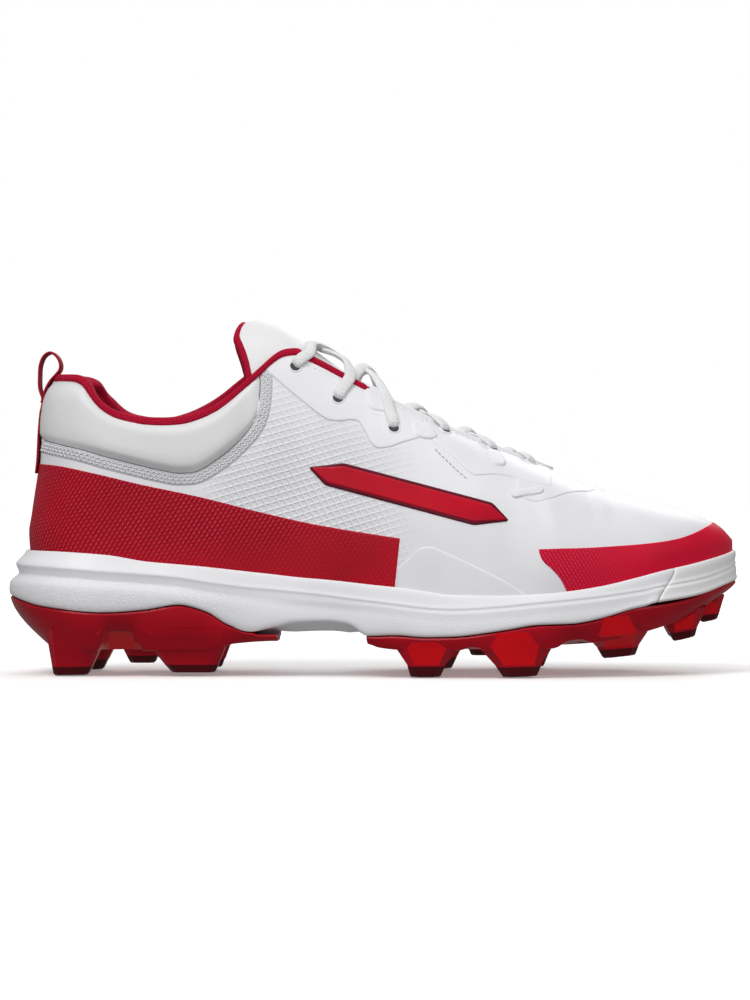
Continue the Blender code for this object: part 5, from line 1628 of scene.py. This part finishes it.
def make_outsole(name, plate, x0, x1, node):
    t = columns(-1, x0, x1, 2.0)
    a, b = plate_rows(t, -1, plate), plate_rows(t, 1, plate)
    # the middle of the plate closes the section above and below
    ring = np.concatenate([a, b[:, ::-1]], axis=1)
    m, k = ring.shape[:2]
    f = [tuple(q) for q in grid_faces(m, k, wrap=True)]
    col, row = np.repeat(np.arange(m - 1), k), np.tile(np.arange(k), m - 1)
    row = np.minimum(row, 2 * a.shape[1] - 2 - row)
    x = 0.5 * (x_of_t(t)[col] + x_of_t(t)[col + 1])
    # the roof of the notch between the heel studs, and the slopes under the forefoot's edge, are painted bright: a
    # painted glow, as of light through the plastic
    glow = (row >= a.shape[1] - 4) & (row < a.shape[1] - 1) & (x > 38) & (x < 56) if plate == "heel" else (row >= a.shape[1] - 5) & (row < a.shape[1] - 3) & ((x - 190) % 46 < 14)
    mats = list(np.where(glow, 1, 0))
    f.append(tuple((m - 1) * k + i for i in range(k)) if plate == "heel" else tuple(range(k))[::-1])
    mats.append(0)
    reds = [MAT["outsole"], MAT["bright"], MAT["tips"]]
    body = new_object(name, to_world(ring.reshape(-1, 3)), f, reds, ring[..., :2].reshape(-1, 2), 2e-6, None, mats, True, 32)
    bm = bmesh.new()
    bm.from_mesh(body.data)
    bmesh.ops.dissolve_degenerate(bm, edges=bm.edges, dist=1e-6)
    bmesh.ops.recalc_face_normals(bm, faces=bm.faces)
    bm.to_mesh(body.data)
    bm.free()
    verts, faces, mats = [], [], []

    def wall(px, pz, out):
        """How far out the plate's side lies at a place along the shoe and a height."""
        rows = (a if out < 0 else b)
        j = int(np.argmin(np.abs(rows[:, 6, 0] - px)))
        rows = rows[j, 3:12][::-1]
        return float(np.interp(pz, rows[:, 2], np.abs(rows[:, 1])))

    def flare(pts, out, cut, over):
        """Moves the outer side of a ring to just outside the plate's side."""
        ends, corners = ((0, 1), (2, 7)) if out < 0 else ((4, 5), (3, 6))
        pts = [list(q) for q in pts]
        for j in ends:
            pts[j][1] = out * (wall(pts[j][0], pts[j][2], out) + over)
        for j in corners:
            pts[j][1] = out * (wall(pts[j][0], pts[j][2], out) + over - cut)
        return pts

    for stud in STUDS:
        if stud[0] != plate:
            continue
        _, a0, a1, az, rise, m0, m1, mz, r0, r1, rz, y, (ah, mh, rh), dark, cut = stud
        q = np.clip(dark / (mz - az), 0.1, 0.97)
        d0, d1, dh = a0 + (m0 - a0) * q, a1 + (m1 - a1) * q, ah + (mh - ah) * q
        far = abs(y) > 15 and r1 < 265
        out = -1 if y < 0 else 1
        e = (3.2 if plate == "heel" and far else 2.2) / (rz - mz)
        wide = r1 - r0
        levels = [
            (stud_ring(a0 + 0.6, a1 - 0.6, y, ah - 0.6, az, rise, cut), 2),
            (stud_ring(a0 + 0.05, a1 - 0.05, y, ah - 0.05, az + 0.5, rise, cut), 2),
            (stud_ring(d0, d1, y, dh, az + dark, rise, cut), 0),
            (stud_ring(m0, m1, y, mh, mz, rise, cut * 1.1), 0),
            (stud_ring(r0, r1, y, rh, rz, rise * 1.3, cut * 1.8), 0),
            (stud_ring(r0 + (r0 - m0) * e, r1 + (r1 - m1) * e, y, rh + (rh - mh) * e, rz + 2.2, rise * 1.3, cut * 2), 0),
        ]
        if far and plate == "heel":
            levels[4] = (flare(levels[4][0], out, cut, 0.45), 0)
            levels[5] = (flare(levels[5][0], out, cut, 0.2), 0)
        elif far:
            top = float(under_of(0.5 * (r0 + r1))) - 1.0
            levels[4] = (flare(levels[4][0], out, cut * 0.8, 0.55), 0)
            levels[5] = (flare(stud_ring(r0 + 0.16 * wide, r1 - 0.24 * wide, y, rh, top - 0.6, rise, cut), out, cut, 0.3), 0)
        base = len(verts)
        for pts, _ in levels:
            verts += [tuple(v) for v in pts]
        g = grid_faces(len(levels), 8, base=base, wrap=True)
        faces += [tuple(v) for v in g]
        for r in range(len(levels) - 1):
            for j in range(8):
                # side-facing facets of the studs take the bright red: a painted highlight
                shine = plate == "fore" and (r == 3 or far and r == 4) and j in (0, 4) or plate == "heel" and r == 3 and j in (2,)
                mats.append(1 if shine else (2 if r < 2 else 0))
        faces.append(tuple(base + i for i in range(8)))
        faces.append(tuple(base + (len(levels) - 1) * 8 + i for i in range(8))[::-1])
        mats += [2, 0]
    studs = new_object(name + "_studs", to_world(verts), faces, reds, np.array(verts)[:, :2], 0, None, mats, False)
    bm = bmesh.new()
    bm.from_mesh(studs.data)
    bmesh.ops.recalc_face_normals(bm, faces=bm.faces)
    bm.to_mesh(studs.data)
    bm.free()
    union = body.modifiers.new("studs", "BOOLEAN")
    union.object, union.operation, union.solver = studs, "UNION", "EXACT"
    bpy.context.view_layer.update()
    got = bpy.data.meshes.new_from_object(body.evaluated_get(bpy.context.evaluated_depsgraph_get()))
    body.modifiers.clear()
    body.data = got
    got.set_sharp_from_angle(angle=math.radians(24))
    bpy.data.objects.remove(studs, do_unlink=True)
    seat(body, "outsole", node)
    return body


# ------------------------------------------------------------------ pull loop, insole
def make_loop():
    path = []
    z = 82.0
    while z < 113:
        lean = float(lean_of(z))
        path.append((HEEL_X + lean - 0.95, z))
        z += 5.0
    path += [(11.3, 117.0), (11.2, 122.0), (11.6, 126.8), (13.3, 130.5), (15.9, 131.8), (18.4, 130.1), (19.8, 127.2), (19.6, 124.6), (18.0, 122.6), (16.0, 120.4), (14.2, 117.4), (13.0, 114.2), (12.2, 111.0)]
    pts = np.array([(x, 0.0, z) for x, z in path])
    tan = np.gradient(pts, axis=0)
    ups = np.stack([-tan[:, 2], 0 * tan[:, 0], tan[:, 0]], -1)
    ups = ups / np.linalg.norm(ups, axis=1, keepdims=True)
    return ribbon("pull_loop_tape", pts, ups, 14.0, 1.05, "tape", step=0.9, sides=20, power=9.0, slot="trim", nodes=("pull_loop",))


def make_insole():
    """Fabric-covered sock liner: a flat bed whose edge turns up against the upper."""
    t = columns(-1, HEEL_X, TOE_X, 2.2)
    x = x_of_t(t)
    verts, faces, uvs = [], [], []
    base = 0
    prof = ((-6.4, 0.3), (-5.0, 0.9), (-4.9, 3.0), (-4.95, 5.3), (-5.5, 5.75), (-6.6, 5.5), (-9.5, 4.9), (-13.0, 4.5))
    for side in (-1, 1):
        rows = []
        for d, up in prof:
            px, py = plan_edge(x, side, d)
            rows.append(np.stack([px, py, bed_of(x) + up], -1))
        px, py = plan_edge(x, side, -13.0)
        for f in (0.75, 0.5, 0.25, 0.0):
            rows.append(np.stack([px, spine(x) + (py - spine(x)) * f, bed_of(x) + 4.5 - 0.25 * (1 - f)], -1))
        p = np.stack(rows, axis=1)
        verts.append(p.reshape(-1, 3))
        uvs.append(p[..., :2].reshape(-1, 2))
        faces.append(grid_faces(p.shape[0], p.shape[1], flip=side > 0) + base)
        base += p.shape[0] * p.shape[1]
    m, k = len(t), len(prof) + 4
    i = np.arange(m - 1)
    q = np.stack([i * k, (i + 1) * k, m * k + (i + 1) * k, m * k + i * k], -1)
    obj = new_object("insole_cover", to_world(np.concatenate(verts)), np.concatenate(faces + [q[:, ::-1]]), MAT["insole"], np.concatenate(uvs), 4e-6)
    bm = bmesh.new()
    bm.from_mesh(obj.data)
    bmesh.ops.dissolve_degenerate(bm, edges=bm.edges, dist=1e-6)
    bmesh.ops.recalc_face_normals(bm, faces=bm.faces)
    bm.to_mesh(obj.data)
    bm.free()
    return seat(obj, "insole", "insole")


# ------------------------------------------------------------------ stitches, tabs and the side patch
def chain(side, xz, offset, pitch, slant, lift=0.12):
    """Centres, directions and normals of a row of slanting stitches along a line."""
    at, tan, nrm, across = path_on_skin(side, xz, pitch, lift, offset)
    flip = np.where(np.arange(len(at)) % 2 == 0, 1.0, -1.0)[:, None] if slant < 0 else 1.0
    d = tan * math.cos(abs(slant)) + across * math.sin(abs(slant)) * flip
    return at, d, nrm


def table_line(table, x0, x1, f=None):
    f = f or curve(table, "z")
    x = np.linspace(x0, x1, 80)
    return np.stack([x, f(x)], -1)


def tape(name, side, xz, offsets, lifts, mat, slot="trim"):
    """A narrow strip along a line of the side view, given by offsets across it and heights above the skin."""
    rows = [path_on_skin(side, xz, 1.3, h, off)[0] for off, h in zip(offsets, lifts)]
    n = min(len(r) for r in rows)
    s = np.linspace(0, 1, n)
    rows = [np.stack([np.interp(s, np.linspace(0, 1, len(r)), r[:, k]) for k in range(3)], -1) for r in rows]
    p = np.stack(rows, axis=1)
    run = np.concatenate([[0], np.cumsum(np.linalg.norm(np.diff(p[:, 0], axis=0), axis=1))])
    uv = np.stack([run[:, None] + 0 * p[..., 0], np.array(offsets)[None, :] + 0 * p[..., 0]], -1)
    obj = new_object(name, to_world(p.reshape(-1, 3)), grid_faces(n, len(offsets)), MAT[mat], uv.reshape(-1, 2), 0)
    face = obj.data.polygons[len(obj.data.polygons) // 2]
    if face.normal.y * side < 0:
        obj.data.flip_normals()
    return seat(obj, slot)


def make_details():
    # seam stitches round the foam collar panel
    seam_pts = np.concatenate([table_line(PAD_SEAM, 9.0, 99.0), [(100.6, 103.2), (101.8, 107.0), (102.5, 111.0), (102.8, 115.5), (102.9, 119.5), (102.6, 122.6)]])
    rows = []
    for side, word in ((-1, "outer"), (1, "inner")):
        # a thin dark strip along the pad's seam: a painted shadow of the gap between pad and tape
        tape(f"collar_gap_shadow_{word}", side, seam_pts, (0.42, 0.2, -0.12, -0.34), (-0.1, 0.10, 0.10, -0.1), "shade")
        # grey tape under the pad, its colour partly painted shade
        tape(f"collar_tape_{word}", side, seam_pts, (-0.30, -0.55, -2.8, -4.9, -5.2), (-0.1, 0.13, 0.16, 0.13, -0.1), "band")
        for off, slant in ((-1.35, -0.75), (-2.65, -0.75), (-3.95, -0.75)):
            rows.append(chain(side, seam_pts, off, 1.15, slant, 0.34))
    stitches("collar_stitches", rows, "thread", length=1.45, radius=0.23)

    # stitches along the front eyestay edge, and a double row round the throat
    rows, shaded_rows = [], []
    for side in (-1, 1):
        low = np.array([(174.2, 92.6), (178.4, 88.4), (183.2, 83.8), (187.2, 80.2)])
        # these stitches are white thread painted grey as painted shade
        shaded_rows.append(chain(side, low, -0.9, 2.1, 0.0, 0.16))
        x = np.linspace(121.0, 219.0, 300)
        a = np.minimum(top_angle(x, side), np.pi)
        p = raw(t_of_x(x), side, angle_at_y(x, side, gap_of(x) + 2.9))
        rows.append(chain(side, np.stack([x, p[:, 2]], -1), 0.0, 2.6, 0.0, 0.55))
    stitches("eyestay_stitches", rows, "thread", length=1.6, radius=0.2)
    stitches("eyestay_edge_stitches", shaded_rows, "shaded_thread", length=1.5, radius=0.22)

    for side, word in ((-1, "outer"), (1, "inner")):
        # raised box over the third lace hole's corner, folded over the throat edge
        patch(f"lace_keeper_{word}", side, rounded(((144.6, 119.2), (146.6, 107.4), (155.4, 106.2), (154.8, 114.6)), (1.0, 3.2, 3.2, 1.0)), 1.0, "skin", crown=0.35, reach=1.2, inner_steps=(0, 0.12, 0.35, 0.7, 1.2))
        patch(f"keeper_frame_{word}", side, rounded(((143.4, 120.2), (145.4, 105.2), (157.2, 104.0), (157.0, 113.4)), (1.0, 4.2, 4.2, 1.0)), 0.55, "skin")
        # corner tab before the fourth hole
        patch(f"corner_tab_{word}", side, rounded(((164.0, 103.8), (171.6, 101.0), (175.6, 96.2), (170.4, 95.6), (165.0, 97.2)), 2.0), 0.85, "skin", crown=0.2)
        # oval keeper and elongated tab of the front eyestay
        patch(f"oval_keeper_{word}", side, rounded(((194.4, 92.4), (201.6, 89.8), (203.2, 84.2), (195.6, 85.2)), 3.4), 0.95, "skin", crown=0.45, hollow=0.3)
        patch(f"front_tab_{word}", side, rounded(((204.2, 74.6), (217.6, 76.8), (218.0, 73.9), (204.6, 71.8)), 1.4), 0.75, "skin", crown=0.25)
        # plain six-sided glossy bar with a dark rim
        tilt = math.radians(-15.0)
        c = np.array([163.0, 73.6])
        long, high = 42.0, 5.4

        def bar(k):
            shape = ((-long + 0.9 * k, 0), (-long + 13.5 + 0.3 * k, high - k), (long - 8.5 - 0.3 * k, high - k), (long - 0.9 * k, 0.0), (long - 13.5 - 0.3 * k, -high + k), (-long + 8.5 + 0.3 * k, -high + k))
            out = []
            for u, v in shape:
                out.append((c[0] + u * math.cos(tilt) - v * math.sin(tilt), c[1] + u * math.sin(tilt) + v * math.cos(tilt)))
            return out

        ends = (((c[0] - 0.8 * long * math.cos(tilt)), c[1] - 0.8 * long * math.sin(tilt)), (c[0] + 0.8 * long * math.cos(tilt), c[1] + 0.8 * long * math.sin(tilt)))
        patch(f"side_bar_rim_{word}", side, rounded(bar(0.0), 1.2), 0.7, "rim", slot="trim", spine_line=ends, step=1.0)
        patch(f"side_bar_{word}", side, rounded(bar(1.15), 0.8), 1.0, "patch", slot="trim", spine_line=ends, step=1.0)


# ------------------------------------------------------------------ build everything
make_shell()
make_overlays()
make_saddle()
make_binding()
make_tongue()
points = lace_path()
_, lace_mm = ribbon("lace_cord", [p for p, _ in points], [u for _, u in points], LACE_W, LACE_T, "lace", nodes=("laces",))
print("lace length mm", round(lace_mm, 1))
make_eyelets()
make_sole_part("midsole_foam", HEEL_X, 269.85, "foam", "midsole", "midsole")
make_sole_part("toe_bumper_rubber", 270.15, TOE_X, "bumper", "toe_bumper", "toe_bumper")
make_outsole("outsole_heel_plate", "heel", HEEL_X, 110.0, "outsole_heel")
make_outsole("outsole_forefoot_plate", "fore", 146.5, TOE_X, "outsole_forefoot")
make_loop()
make_insole()
make_details()

# floor: it glows, painted light, dimmer near the shoe as a painted soft shadow
floor_mesh = bpy.data.meshes.new("floor")
floor_mesh.from_pydata([(-9, -9, -0.0004), (9, -9, -0.0004), (9, 9, -0.0004), (-9, 9, -0.0004)], [], [(0, 1, 2, 3)])
floor = bpy.data.objects.new("floor", floor_mesh)
bpy.context.scene.collection.objects.link(floor)
fn = Nodes("floor_painted_glow", (0.93, 0.93, 0.93), 0.9, Specular_IOR_Level=0.1)
fn.bsdf.inputs["Emission Color"].default_value = (1, 1, 1, 1)
near = fn.t.nodes.new("ShaderNodeVectorMath")
near.operation = "LENGTH"
fn.t.links.new(fn.vec("obj"), near.inputs[0])
# emission rises with distance from the middle: a painted glow, weakest round the shoe as painted shade
fn.set("Emission Strength", fn.ramp(0.15, 1.5, near.outputs["Value"], 0.22, 0.85))
floor_mesh.materials.append(fn.mat)
# the floor lends the shoe no glare from below
floor.visible_diffuse = floor.visible_glossy = False
